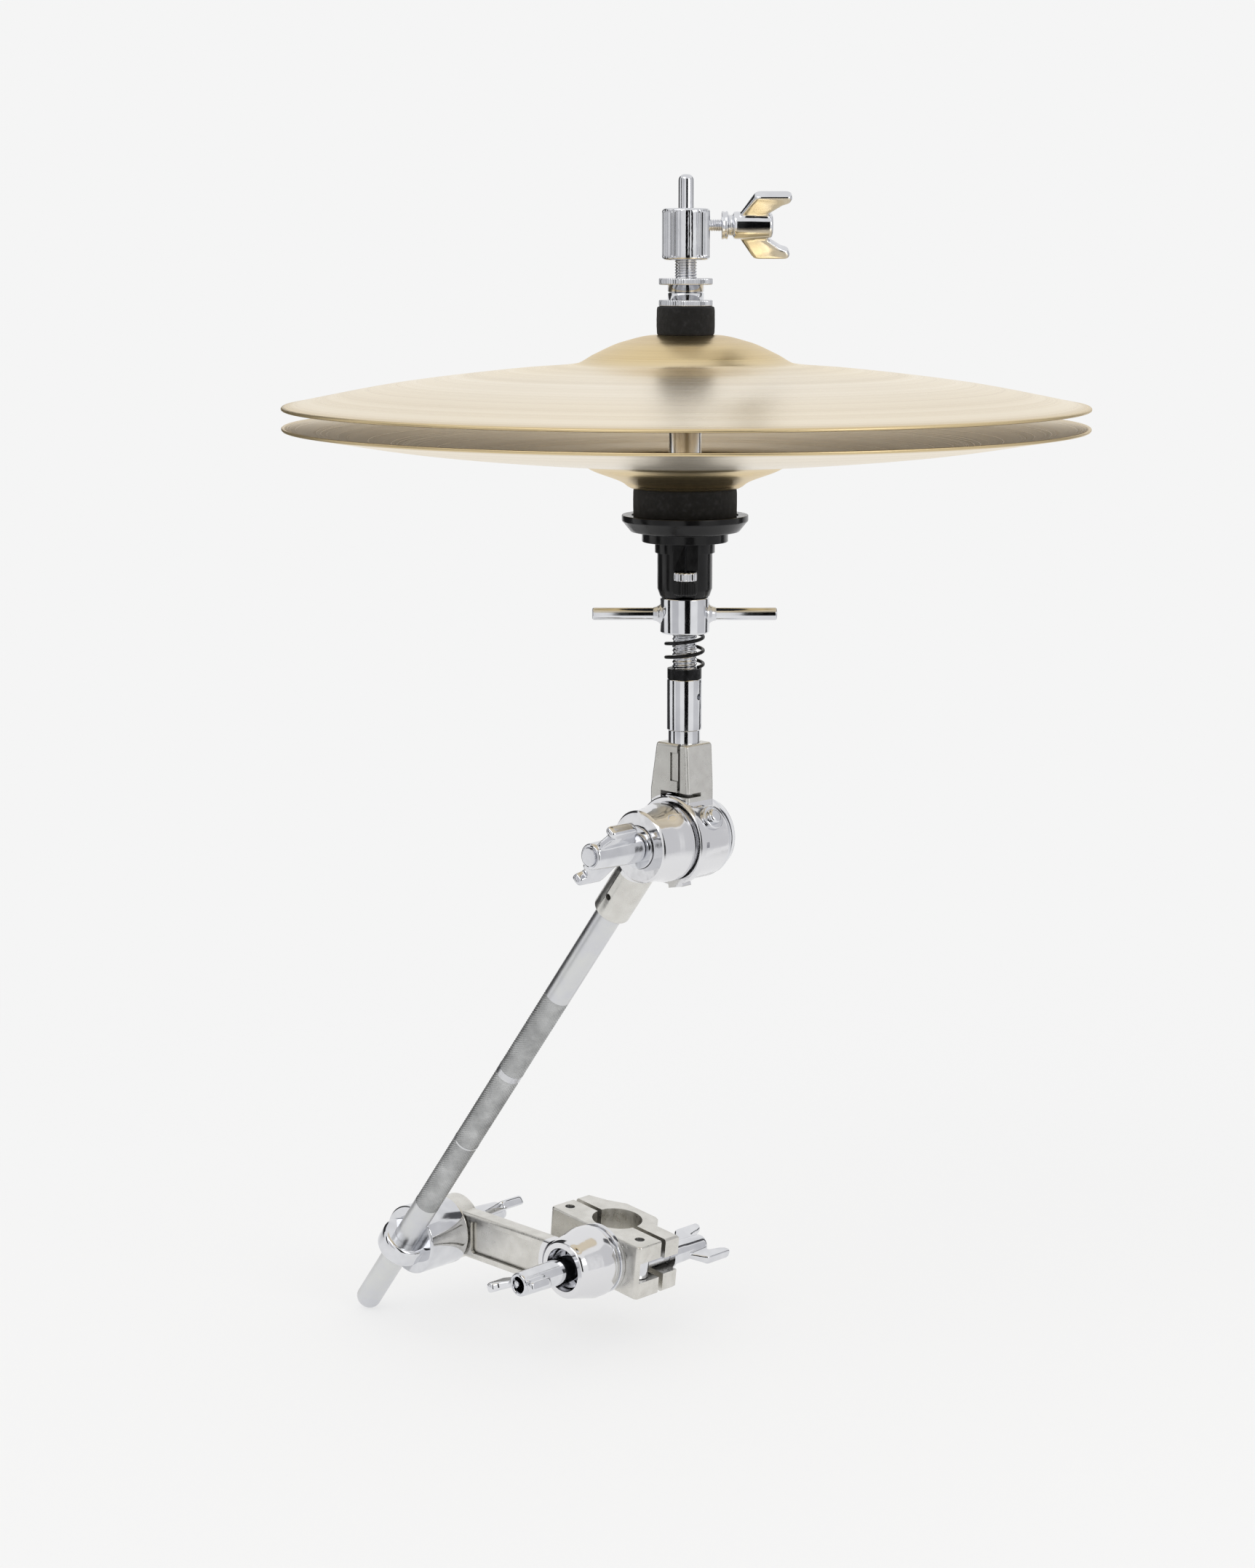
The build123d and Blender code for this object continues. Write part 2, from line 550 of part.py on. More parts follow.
def head_screw():
    """Screw in a boss on the side of the tilter head."""
    boss = fillet(drum(5.6, 0, 2.4).edges().filter_by(GeomType.CIRCLE).sort_by(Axis.Z)[-1], 0.7)
    dome = fillet(drum(3.6, 1.0, 4.6).edges().filter_by(GeomType.CIRCLE).sort_by(Axis.Z)[-1], 1.6)
    boss += dome
    place = Pos(TILTER.X, HEAD_FRONT + 12.0, TILTER.Z) * Rot(0, 54, 0) * Pos(0, 0, HEAD_R - 1.3)
    return place * boss


def key_bolt():
    """Round-headed bolt at the side of the yoke that tightens its grip."""
    head = drum(KEY_HEAD_R, 3.9, 9.0)
    head = fillet(head.edges().filter_by(GeomType.CIRCLE).sort_by(Axis.Z)[-1], 1.4)
    recess = extrude(RegularPolygon(KEY_RECESS_R, 6), 2.0)
    bolt = drum(KEY_BOLT_R - RUNNING, 0.5, 4.5) + head - Pos(0, 0, 7.2) * recess
    place = Pos(POST.X - YOKE_LEFT_LOW + 3.8, POST.Y + 1.5, POST.Z + KEY_BOLT_Z) * Rot(0, -90, 0)
    return place * bolt


def stem():
    """Plain stem held in the yoke."""
    return on_post(drum(STEM_R, STEM_FOOT, STEM_TOP))


def sleeve():
    """Larger chromed sleeve above the stem, with a cross hole."""
    body = drum(SLEEVE_R, STEM_TOP, SLEEVE_TOP)
    body = chamfer(body.edges().filter_by(GeomType.CIRCLE), 0.5)
    cross_hole = Rot(0, 0, 10) * Rot(0, 90, 0) * drum(1.4, SLEEVE_R - 3, SLEEVE_R + 1)
    body -= Pos(0, 0, SLEEVE_TOP - 8) * cross_hole
    return on_post(body)


def spring_seat():
    """Black collar that the spring stands on."""
    return on_post(ring(SPRING_SEAT_R - 1.3, THREAD_R, SLEEVE_TOP, SPRING_SEAT_TOP))


def threaded_rod():
    """Threaded rod that the handle climbs."""
    return on_post(ring(THREAD_R, ROD_R, SLEEVE_TOP, THREAD_TOP))


def pull_rod():
    """Centre rod of the hi-hat, with a rounded tip."""
    rod = drum(ROD_R, SLEEVE_TOP, ROD_TOP)
    rod = fillet(rod.edges().filter_by(GeomType.CIRCLE).sort_by(Axis.Z)[-1], 2.6)
    return on_post(rod)


def spring():
    """Compression spring between its seat and the handle hub."""
    low = SPRING_SEAT_TOP + SPRING_WIRE / 2 + 0.3
    high = HUB_BOTTOM - SPRING_WIRE / 2 - 0.3
    path = Helix((high - low) / SPRING_TURNS, high - low, SPRING_R)
    section = Plane(path @ 0, z_dir=path % 0) * Circle(SPRING_WIRE / 2)
    return on_post(Pos(0, 0, low) * sweep(section, path=path, is_frenet=True))


def handle_hub():
    """Threaded hub of the height handle."""
    hub = drum(HUB_R, HUB_BOTTOM, HUB_TOP)
    hub = chamfer(hub.edges().filter_by(GeomType.CIRCLE), 0.7)
    hub -= drum(THREAD_R + RUNNING, HUB_BOTTOM - 1, HUB_TOP + 1)
    cross = Pos(0, 0, HANDLE_Z) * Rot(0, 0, HANDLE_TURN) * Rot(0, 90, 0) * Cylinder(HANDLE_ROD_R, 60)
    return on_post(hub - cross)


def handle_rods():
    """The two rods welded into the hub."""
    rods = []
    for side in (-1, 1):
        rod = drum(HANDLE_ROD_R, THREAD_R + 1.5, HANDLE_SPAN / 2)
        rod = fillet(rod.edges().filter_by(GeomType.CIRCLE).sort_by(Axis.Z)[-1], 0.8)
        turn = Rot(0, 0, HANDLE_TURN) * Rot(0, 90 * side, 0)
        rods.append(on_post(Pos(0, 0, HANDLE_Z) * turn * rod))
    return rods


def seat_base():
    """Lower half of the seat: a neck that rides on the handle hub, with a pocket for the tilt screw."""
    low = HUB_TOP + FACE_GAP
    base = turned([(0, low), (BASE_R - 1.2, low), (BASE_R, low + 3.5), (BASE_R, BASE_TOP - BASE_NECK_H),
                   (BASE_NECK_R, BASE_TOP - BASE_NECK_H), (BASE_NECK_R, BASE_TOP), (0, BASE_TOP)])
    rib = slab(-5.5, 5.5, -SCREW_OUT - 2.0, 0, SCREW_TOP + 0.6, BASE_TOP)
    base += Rot(0, 0, HANDLE_TURN) * rib
    screw_axis = Pos(SCREW_DIR.X * SCREW_OUT, SCREW_DIR.Y * SCREW_OUT, 0)
    base -= screw_axis * drum(TILT_SCREW_R + 0.5, low - 1, SCREW_TOP + 0.6)
    base -= screw_axis * drum(TILT_SPINDLE_R + RUNNING, 0, BASE_TOP + 1)
    base -= drum(THREAD_R + 0.3, low - 1, THREAD_TOP + 7)
    base -= drum(SEAT_TUBE_BORE, low, BASE_TOP + 1)
    return on_post(base)


def tilt_screw():
    """Spindle and bright fluted cap of the seat's tilt screw."""
    x = SCREW_DIR.X * SCREW_OUT
    y = SCREW_DIR.Y * SCREW_OUT
    cap = drum(TILT_SCREW_R, SCREW_Z + TILT_SCREW_H, SCREW_TOP)
    cap += drum(TILT_SPINDLE_R, SCREW_TOP - 1, BASE_TOP)
    return on_post(Pos(x, y, 0) * cap)


def tilt_knob():
    """Black knurled thumb wheel of the tilt screw."""
    x = SCREW_DIR.X * SCREW_OUT
    y = SCREW_DIR.Y * SCREW_OUT
    return on_post(Pos(x, y, 0) * drum(TILT_SCREW_R, SCREW_Z, SCREW_Z + TILT_SCREW_H))


def seat_cup():
    """Upper half of the seat: a dished cup with a guide tube through the bottom cymbal."""
    z0 = CUP_BOTTOM
    z1 = z0 + SEAT_STEP_H
    cup = turned([(0, z0), (SEAT_STEP_R, z0), (SEAT_STEP_R, z1), (SEAT_RIM_R - 4.0, z1 + 0.6),
                  (SEAT_RIM_R - 0.6, CUP_TOP - 3.2), (SEAT_RIM_R, CUP_TOP - 2.6), (SEAT_RIM_R, CUP_TOP),
                  (SEAT_FELT_R + 0.6, CUP_TOP), (SEAT_FELT_R + 0.6, CUP_TOP - 1.2), (0, CUP_TOP - 1.2)])
    cup += drum(SEAT_TUBE_R, CUP_TOP - 2, CUP_TOP + SEAT_TUBE_UP)
    cup -= drum(SEAT_TUBE_BORE, z0 - 1, CUP_TOP + SEAT_TUBE_UP + 1)
    return on_post(cup)


def seat_felt():
    """Felt washer under the bottom cymbal."""
    felt = ring(SEAT_FELT_R, SEAT_TUBE_R + FACE_GAP, CUP_TOP - 1.2, SEAT_FELT_TOP)
    return on_post(felt)


def cymbal(edge, bow, bell, crown_r, hole_r, sense):
    """A cymbal of even thickness: bow, bell and flat crown. sense +1 opens down, -1 opens up."""
    bow_points = [(CYMBAL_R, 0.0), (CYMBAL_R * 0.73, bow * 0.50),
                  (CYMBAL_R * 0.456, bow * 0.83), (BELL_R, bow)]
    bell_points = [(BELL_R, bow), (BELL_R * 0.84, bow + bell * 0.32),
                   (BELL_R * 0.58, bow + bell * 0.76), (crown_r, bow + bell)]

    def at(point, drop):
        radius, height = point
        return (radius, 0, edge + sense * (height - drop))

    outer = [Spline(*[at(p, 0) for p in bow_points]), Spline(*[at(p, 0) for p in bell_points]),
             Line(at(bell_points[-1], 0), at((hole_r, bow + bell), 0))]
    inner = [Spline(*[at(p, CYMBAL_T) for p in bow_points]), Spline(*[at(p, CYMBAL_T) for p in bell_points]),
             Line(at(bell_points[-1], CYMBAL_T), at((hole_r, bow + bell), CYMBAL_T))]
    rim = Line(at(bow_points[0], 0), at(bow_points[0], CYMBAL_T))
    hole = Line(at((hole_r, bow + bell), 0), at((hole_r, bow + bell), CYMBAL_T))
    return on_post(revolve(make_face([*outer, *inner, rim, hole]), Axis.Z))


def clutch_felt():
    """Felt above the top cymbal."""
    return on_post(ring(CLUTCH_FELT_R, CLUTCH_TUBE_R + FACE_GAP, TOP_CROWN, CLUTCH_FELT_TOP))


def lower_clutch_felt():
    """Felt below the top cymbal, inside its bell."""
    return on_post(ring(CLUTCH_FELT_R, CLUTCH_TUBE_R + FACE_GAP, LOWER_FELT_BOTTOM, LOWER_FELT_TOP))


def clutch_bottom_nut():
    """Wide nut at the foot of the clutch."""
    low = LOWER_FELT_BOTTOM - BOTTOM_NUT_H
    nut = drum(BOTTOM_NUT_R, low, LOWER_FELT_BOTTOM)
    nut = fillet(nut.edges().filter_by(GeomType.CIRCLE), 1.2)
    return on_post(nut - drum(CLUTCH_TUBE_R + RUNNING, low - 1, LOWER_FELT_BOTTOM + 1))


def lock_nut(flange_low):
    """Flanged lock nut, its flange at the bottom or at the top."""
    z0 = LOCK_BOTTOM if flange_low else LOCK_BOTTOM + LOCK_NUT_H
    z1 = z0 + LOCK_NUT_H
    if flange_low:
        nut = drum(LOCK_FLANGE_R, z0, z0 + LOCK_FLANGE_H) + drum(LOCK_HUB_R, z0, z1 - 0.1)
    else:
        nut = drum(LOCK_FLANGE_R, z1 - LOCK_FLANGE_H, z1) + drum(LOCK_HUB_R, z0 + 0.1, z1)
    nut = fillet(nut.edges().filter_by(GeomType.CIRCLE).sort_by(SortBy.RADIUS)[-2:], 0.7)
    return on_post(nut - drum(CLUTCH_TUBE_R + RUNNING, z0 - 1, z1 + 1))


def clutch_tube():
    """Threaded tube of the clutch, down through the top cymbal."""
    low = LOWER_FELT_BOTTOM - BOTTOM_NUT_H - 1.5
    return on_post(ring(CLUTCH_TUBE_R, ROD_R + RUNNING, low, CLUTCH_BOTTOM))


def clutch_body():
    """Ribbed body of the clutch, bored for the rod and tapped for its wing screw."""
    body = drum(CLUTCH_BODY_R, CLUTCH_BOTTOM, CLUTCH_TOP)
    body = fillet(body.edges().filter_by(GeomType.CIRCLE), 1.6)
    body -= drum(ROD_R + RUNNING, CLUTCH_BOTTOM - 1, CLUTCH_TOP + 1)
    turn = Rot(0, 0, HANDLE_TURN)
    body -= Pos(0, 0, CLUTCH_SCREW_Z) * turn * Rot(0, 90, 0) * drum(CLUTCH_SCREW_R + RUNNING, 0, 30)
    return on_post(body)


def clutch_wing_screw():
    """Wing screw that locks the clutch to the rod."""
    screw = drum(CLUTCH_SCREW_R, ROD_R + 0.6, 17.5)
    for z in (15.4, 17.2):
        screw += drum(6.3, z, z + 1.2)
    screw += drum(4.6, 17.0, 21.0)
    screw += Pos(0, 0, 20.5) * wing_screw(6.0, 17.5, 2.5, 25.5, 16.5, 3.8)
    turn = Rot(0, 0, HANDLE_TURN) * Rot(0, 90, 0)
    return on_post(Pos(0, 0, CLUTCH_SCREW_Z) * turn * Rot(0, 0, CLUTCH_WING_TURN) * screw)


def main():
    os.makedirs("parts", exist_ok=True)
    top = cymbal(TOP_EDGE, TOP_BOW, TOP_BELL, TOP_CROWN_R, CLUTCH_TUBE_R + 0.6, 1)
    bottom = cymbal(BOTTOM_EDGE, BOTTOM_BOW, BOTTOM_BELL, BOTTOM_CROWN_R, SEAT_TUBE_R + 0.6, -1)
    pins = jaw_pins()
    discs = swivel_discs()
    eye, stud = eye_bolt()
    nodes = {
        "front_jaw": front_jaw(),
        "rear_jaw": rear_jaw(),
        "jaw_hinge_pin": pins[0],
        "jaw_bolt_pin": pins[1],
        "jaw_swing_bolt": jaw_swing_bolt(),
        "jaw_washer": jaw_washer(),
        "jaw_wing_nut": jaw_wing_nut(),
        "swivel_disc_inner": discs[0],
        "swivel_disc_outer": discs[1],
        "swivel_stud": swivel_stud(),
        "link_bar": link_bar(),
        "swivel_wing_nut": swivel_wing_nut(),
        "boom_cup": boom_cup(),
        "boom_eye": eye,
        "boom_eye_stud": stud,
        "boom_washer": boom_washer(),
        "boom_wing_nut": boom_wing_nut(),
        "boom_tube": boom_tube(),
        "boom_knurl_upper": knurled_band(0),
        "boom_knurl_middle": knurled_band(1),
        "boom_knurl_lower": knurled_band(2),
        "arm_barrel": arm_barrel(),
        "tilter_bolt": tilter_bolt(),
        "tilter_washer": tilter_washer(),
        "tilter_wing_nut": tilter_wing_nut(),
        "tilter_head": tilter_head(),
        "head_cap": head_cap(),
        "head_screw": head_screw(),
        "key_bolt": key_bolt(),
        "stem": stem(),
        "sleeve": sleeve(),
        "spring_seat": spring_seat(),
        "threaded_rod": threaded_rod(),
        "pull_rod": pull_rod(),
        "spring": spring(),
        "handle_hub": handle_hub(),
        "handle_rods": Compound(children=handle_rods()),
        "seat_base": seat_base(),
        "tilt_screw": tilt_screw(),
        "tilt_knob": tilt_knob(),
        "seat_cup": seat_cup(),
        "seat_felt": seat_felt(),
        "bottom_cymbal": bottom,
        "top_cymbal": top,
        "clutch_felt": clutch_felt(),
        "lower_clutch_felt": lower_clutch_felt(),
        "clutch_bottom_nut": clutch_bottom_nut(),
        "lower_lock_nut": lock_nut(True),
        "upper_lock_nut": lock_nut(False),
        "clutch_tube": clutch_tube(),
        "clutch_body": clutch_body(),
        "clutch_wing_screw": clutch_wing_screw(),
    }
    for name, shape in nodes.items():
        export_step(shape, f"parts/{name}.step")


main()
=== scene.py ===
"""Looks of a closed hi-hat on a clamp arm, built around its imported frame. Metres throughout."""

import json
import logging
import math
from collections.abc import Callable, Sequence
from dataclasses import dataclass, field
from enum import Enum

import bmesh
import bpy
from bpy.types import ID, Material, Mesh, Node, NodeSocket, NodeTree, Object
from mathutils import Euler, Matrix, Vector, noise


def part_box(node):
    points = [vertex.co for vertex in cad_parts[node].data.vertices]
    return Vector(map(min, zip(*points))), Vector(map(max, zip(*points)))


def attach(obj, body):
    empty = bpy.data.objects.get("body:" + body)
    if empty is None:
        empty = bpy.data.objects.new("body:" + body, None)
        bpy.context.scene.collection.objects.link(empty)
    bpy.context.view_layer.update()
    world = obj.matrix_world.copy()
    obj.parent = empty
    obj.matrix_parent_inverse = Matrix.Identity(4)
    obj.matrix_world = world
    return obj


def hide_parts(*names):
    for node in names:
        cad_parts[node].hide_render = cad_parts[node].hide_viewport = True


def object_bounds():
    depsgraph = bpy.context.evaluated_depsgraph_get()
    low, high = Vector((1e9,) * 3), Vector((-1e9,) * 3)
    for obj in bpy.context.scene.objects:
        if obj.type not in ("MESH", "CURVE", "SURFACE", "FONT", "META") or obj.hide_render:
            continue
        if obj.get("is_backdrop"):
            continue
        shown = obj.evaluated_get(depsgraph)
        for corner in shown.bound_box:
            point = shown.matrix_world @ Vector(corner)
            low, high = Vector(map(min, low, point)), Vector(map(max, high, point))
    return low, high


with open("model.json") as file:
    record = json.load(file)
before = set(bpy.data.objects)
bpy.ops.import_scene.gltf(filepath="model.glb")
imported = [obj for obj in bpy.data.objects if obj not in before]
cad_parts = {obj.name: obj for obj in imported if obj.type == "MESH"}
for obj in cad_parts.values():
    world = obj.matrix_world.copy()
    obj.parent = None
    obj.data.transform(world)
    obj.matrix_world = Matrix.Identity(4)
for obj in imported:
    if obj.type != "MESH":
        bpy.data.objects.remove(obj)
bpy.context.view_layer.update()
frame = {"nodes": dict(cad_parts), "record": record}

MM = 0.001
LOG = logging.getLogger("hihat")
Point = tuple[float, float]
Collar = tuple[float, float, float]
Ripple = Callable[[float, float], float]


class Coat(Enum):
    """Every finish on the hi-hat, by the name of its material."""

    CHROME = "chrome_plate"
    SOFT_CHROME = "chrome_plate_soft"
    SATIN_BAR = "satin_nickel_bar"
    ZINC = "tumbled_zinc_casting"
    ZINC_CONE = "zinc_casting_with_buffed_cone"
    ZINC_BARREL = "zinc_casting_with_buffed_barrel"
    ZINC_RING = "zinc_casting_with_buffed_ring"
    KNURL = "rolled_knurl_steel"
    BRONZE = "lathed_bell_bronze"
    NYLON = "moulded_black_nylon"
    NYLON_ON_TUBE = "moulded_nylon_with_steel_tube"
    FELT = "pressed_black_wool_felt"
    BLACK_STEEL = "black_oxide_spring_steel"


def linear_rgb(code: str) -> tuple[float, float, float, float]:
    """Turn an sRGB hex colour into linear RGBA.

    Args:
        code: six hex digits, such as "E8D6B4".

    Returns:
        Linear red, green, blue and an alpha of 1.
    """
    parts = [int(code[i:i + 2], 16) / 255 for i in (0, 2, 4)]
    red, green, blue = [c / 12.92 if c <= 0.04045 else ((c + 0.055) / 1.055) ** 2.4 for c in parts]
    return (red, green, blue, 1.0)


def fill_inputs(tree: NodeTree, node: Node, inputs: dict) -> None:
    """Set a node's inputs.

    Args:
        tree: the node tree.
        node: the node to feed.
        inputs: by input name or number, a constant or the output socket to link from.
    """
    for key, value in inputs.items():
        if isinstance(value, NodeSocket):
            tree.links.new(value, node.inputs[key])
        else:
            node.inputs[key].default_value = value


def add_node(tree: NodeTree, kind: str, settings: dict | None = None,
             inputs: dict | None = None) -> Node:
    """Add one shader node with its settings, its constants and its links.

    Args:
        tree: the node tree that gets the node.
        kind: the node's Blender type, such as "ShaderNodeTexNoise".
        settings: attributes of the node by name.
        inputs: what fill_inputs takes.

    Returns:
        The new node.
    """
    node = tree.nodes.new(kind)
    for name, value in (settings or {}).items():
        setattr(node, name, value)
    fill_inputs(tree, node, inputs or {})
    return node


def new_material(name: str) -> tuple[Material, NodeTree, Node]:
    """Make a material with a bare principled shader.

    Args:
        name: the material's name.

    Returns:
        The material, its node tree and its shader.
    """
    material = bpy.data.materials.new(name)
    material.use_nodes = True
    tree = material.node_tree
    return material, tree, tree.nodes["Principled BSDF"]


def multiply_colours(tree: NodeTree, first: NodeSocket,
                     second: NodeSocket) -> NodeSocket:
    """Product of two colours."""
    node = add_node(tree, "ShaderNodeMix", {"data_type": "RGBA", "blend_type": "MULTIPLY"},
                    {"Factor": 1.0, 6: first, 7: second})
    return node.outputs[2]


def layer_shaders(tree: NodeTree, share: NodeSocket, under: Node,
                  over: Node) -> None:
    """Show one shader in place of another, by a share from 0 to 1, at the material's output."""
    mixed = add_node(tree, "ShaderNodeMixShader", inputs={0: share, 1: under.outputs[0], 2: over.outputs[0]})
    fill_inputs(tree, tree.nodes["Material Output"], {0: mixed.outputs[0]})


def distance_from_line(tree: NodeTree, place: NodeSocket, across: Sequence[float],
                       centre: Sequence[float]) -> NodeSocket:
    """Distance of each point from a line along one axis.

    Args:
        tree: the node tree.
        place: the point's coordinates.
        across: 1 for each axis across the line and 0 for the one along it.
        centre: where the line crosses the plane of the other two axes.

    Returns:
        The distance socket, in metres.
    """
    flat = add_node(tree, "ShaderNodeVectorMath", {"operation": "MULTIPLY"}, {0: place, 1: across})
    away = add_node(tree, "ShaderNodeVectorMath", {"operation": "DISTANCE"}, {0: flat.outputs[0], 1: centre})
    return away.outputs["Value"]


def math_node(tree: NodeTree, operation: str, *values: object) -> NodeSocket:
    """Chain one Math step and hand back its result socket.

    Args:
        tree: the node tree.
        operation: the Math operation, such as "MULTIPLY".
        values: constants or sockets, in input order.

    Returns:
        The result socket.
    """
    node = add_node(tree, "ShaderNodeMath", {"operation": operation}, dict(enumerate(values)))
    return node.outputs[0]


@dataclass(frozen=True)
class Finish:
    """A surface finish. Subclasses say how the surface was made and draw it."""

    coat: Coat

    def position(self, tree: NodeTree) -> NodeSocket:
        """Object coordinates in metres, which stay with the piece."""
        return add_node(tree, "ShaderNodeTexCoord").outputs["Object"]

    def grain(self, tree: NodeTree, size_mm: float, detail: float = 3.0,
              vector: NodeSocket | None = None) -> NodeSocket:
        """Noise whose lumps are about a given size.

        Args:
            tree: the node tree.
            size_mm: lump size in millimetres.
            detail: octaves of finer noise.
            vector: coordinates, or None for the object's own.

        Returns:
            The noise value socket, from 0 to 1.
        """
        inputs = {"Vector": vector or self.position(tree), "Scale": 1 / (size_mm * MM), "Detail": detail,
                  "Roughness": 0.55}
        return add_node(tree, "ShaderNodeTexNoise", inputs=inputs).outputs["Fac"]

    def ramp(self, tree: NodeTree, factor: NodeSocket,
             stops: Sequence[tuple[float, str]]) -> NodeSocket:
        """Colour ramp from hex stops.

        Args:
            tree: the node tree.
            factor: what drives the ramp.
            stops: (place from 0 to 1, hex colour) pairs in order.

        Returns:
            The colour socket.
        """
        node = add_node(tree, "ShaderNodeValToRGB", inputs={"Fac": factor})
        elements = node.color_ramp.elements
        while len(elements) < len(stops):
            elements.new(0.5)
        for element, (place, code) in zip(elements, stops):
            element.position = place
            element.color = linear_rgb(code)
        return node.outputs["Color"]

    def spread_value(self, tree: NodeTree, factor: NodeSocket,
                     low: float, high: float) -> NodeSocket:
        """Map the middle of a noise onto a range."""
        inputs = {"Value": factor, "From Min": 0.3, "From Max": 0.7, "To Min": low, "To Max": high}
        return add_node(tree, "ShaderNodeMapRange", inputs=inputs).outputs["Result"]

    def bump(self, tree: NodeTree, height: NodeSocket, depth_mm: float,
             under: NodeSocket | None = None) -> NodeSocket:
        """Bump of a given depth, on top of another normal if one is given."""
        inputs: dict = {"Height": height, "Strength": 1.0, "Distance": depth_mm * MM}
        if under is not None:
            inputs["Normal"] = under
        return add_node(tree, "ShaderNodeBump", inputs=inputs).outputs["Normal"]

    def bare_metal(self, tree: NodeTree, code: str, haze_mm: float, smooth: float,
                   rough: float) -> Node:
        """A second shader for polished metal inside another finish.

        Args:
            tree: the node tree.
            code: hex colour of the metal.
            haze_mm: size of the patches of haze.
            smooth: least roughness.
            rough: greatest roughness.

        Returns:
            The metal's shader node.
        """
        return add_node(tree, "ShaderNodeBsdfPrincipled", inputs={
            "Metallic": 1.0, "Base Color": linear_rgb(code),
            "Roughness": self.spread_value(tree, self.grain(tree, haze_mm), smooth, rough)})


@dataclass(frozen=True)
class ChromePlate(Finish):
    """Chromium plated over polished nickel: a near mirror, with faint polish haze and handling marks."""

    tint: str = "E4E5E8"
    gloss: float = 0.06
    haze: float = 0.07

    def build(self) -> Material:
        """Draw the plate: haze in the roughness and a shallow waviness left by buffing."""
        material, tree, shader = new_material(self.coat.value)
        waves = self.bump(tree, self.grain(tree, 5.0, 1.0), 0.02)
        fill_inputs(tree, shader, {
            "Metallic": 1.0,
            "Roughness": self.spread_value(tree, self.grain(tree, 7.0, 4.0), self.gloss,
                                           self.gloss + self.haze),
            "Base Color": self.ramp(tree, self.grain(tree, 12.0, 2.0), [(0.35, "D4D5D9"), (0.7, self.tint)]),
            "Normal": self.bump(tree, self.grain(tree, 0.6, 1.0), 0.0012, waves)})
        return material


@dataclass(frozen=True)
class ZincCasting(Finish):
    """Die-cast zinc, tumbled and plated: a soft sheen over fine grain, with faintly rubbed patches."""

    pale: str = "E2E0DB"
    deep: str = "CFCDC7"
    smooth: float = 0.24
    rough: float = 0.36
    grain_mm: float = 0.35
    grain_depth: float = 0.006
    swell_depth: float = 0.018
    recess_mm: float = 2.2

    def build(self) -> Material:
        """Draw the casting: mottled colour, painted shade in its recesses, uneven roughness and a fine
        pebbled grain.
        """
        material, tree, shader = new_material(self.coat.value)
        self.draw(tree, shader)
        return material

    def draw(self, tree: NodeTree, shader: Node) -> None:
        """Draw the cast surface on a shader.

        Args:
            tree: the node tree.
            shader: the principled shader to feed.
        """
        tone = self.ramp(tree, self.grain(tree, 6.0, 5.0), [(0.32, self.deep), (0.68, self.pale)])
        # painted shade: an ambient-occlusion mask darkens slots, holes, corners and contact lines, where
        # shade falls
        shade_mask = add_node(tree, "ShaderNodeAmbientOcclusion", {"samples": 8, "only_local": True},
                            {"Distance": self.recess_mm * MM}).outputs["AO"]
        painted_recess_shade = self.ramp(tree, shade_mask, [(0.25, "1A1A1A"), (0.5, "8C8B88"), (0.78, "FFFFFF")])
        swell = self.bump(tree, self.grain(tree, 5.0, 1.0), self.swell_depth)
        fill_inputs(tree, shader, {
            "Metallic": 1.0,
            "Base Color": multiply_colours(tree, tone, painted_recess_shade),
            "Roughness": self.spread_value(tree, self.grain(tree, 3.0, 4.0), self.smooth, self.rough),
            "Normal": self.bump(tree, self.grain(tree, self.grain_mm, 2.0), self.grain_depth, swell)})


@dataclass(frozen=True)
class ZincCastingBuffedRound(ZincCasting):
    """The same casting with its round part turned and buffed to a mirror."""

    centre: tuple[float, float, float] = (0.0, 0.0, 0.0)
    round_radius: float = 0.0183

    def build(self) -> Material:
        """Draw both surfaces and part them by distance from the round part's axis."""
        material, tree, shader = new_material(self.coat.value)
        self.draw(tree, shader)
        mirror = self.bare_metal(tree, "E4E4E6", 5.0, 0.08, 0.15)
        fill_inputs(tree, mirror, {"Normal": self.bump(tree, self.grain(tree, 4.0, 1.0), 0.03)})
        centre = (self.centre[0], 0.0, self.centre[2])
        away = distance_from_line(tree, self.position(tree), (1.0, 0.0, 1.0), centre)
        layer_shaders(tree, math_node(tree, "GREATER_THAN", away, self.round_radius), mirror, shader)
        return material


@dataclass(frozen=True)
class KnurledSteel(Finish):
    """Rolled diamond knurl under dull nickel: grey, matte, with wear along the ridges."""

    def build(self) -> Material:
        """Draw the plating: uneven grey and fine tooling marks over the cut diamonds."""
        material, tree, shader = new_material(self.coat.value)
        worn = [(0.3, "A2A3A3"), (0.6, "BDBEBE"), (0.8, "D2D3D3")]
        fill_inputs(tree, shader, {
            "Metallic": 1.0,
            "Base Color": self.ramp(tree, self.grain(tree, 9.0, 5.0), worn),
            "Roughness": self.spread_value(tree, self.grain(tree, 2.0, 3.0), 0.36, 0.52),
            "Normal": self.bump(tree, self.grain(tree, 0.25, 2.0), 0.01)})
        return material


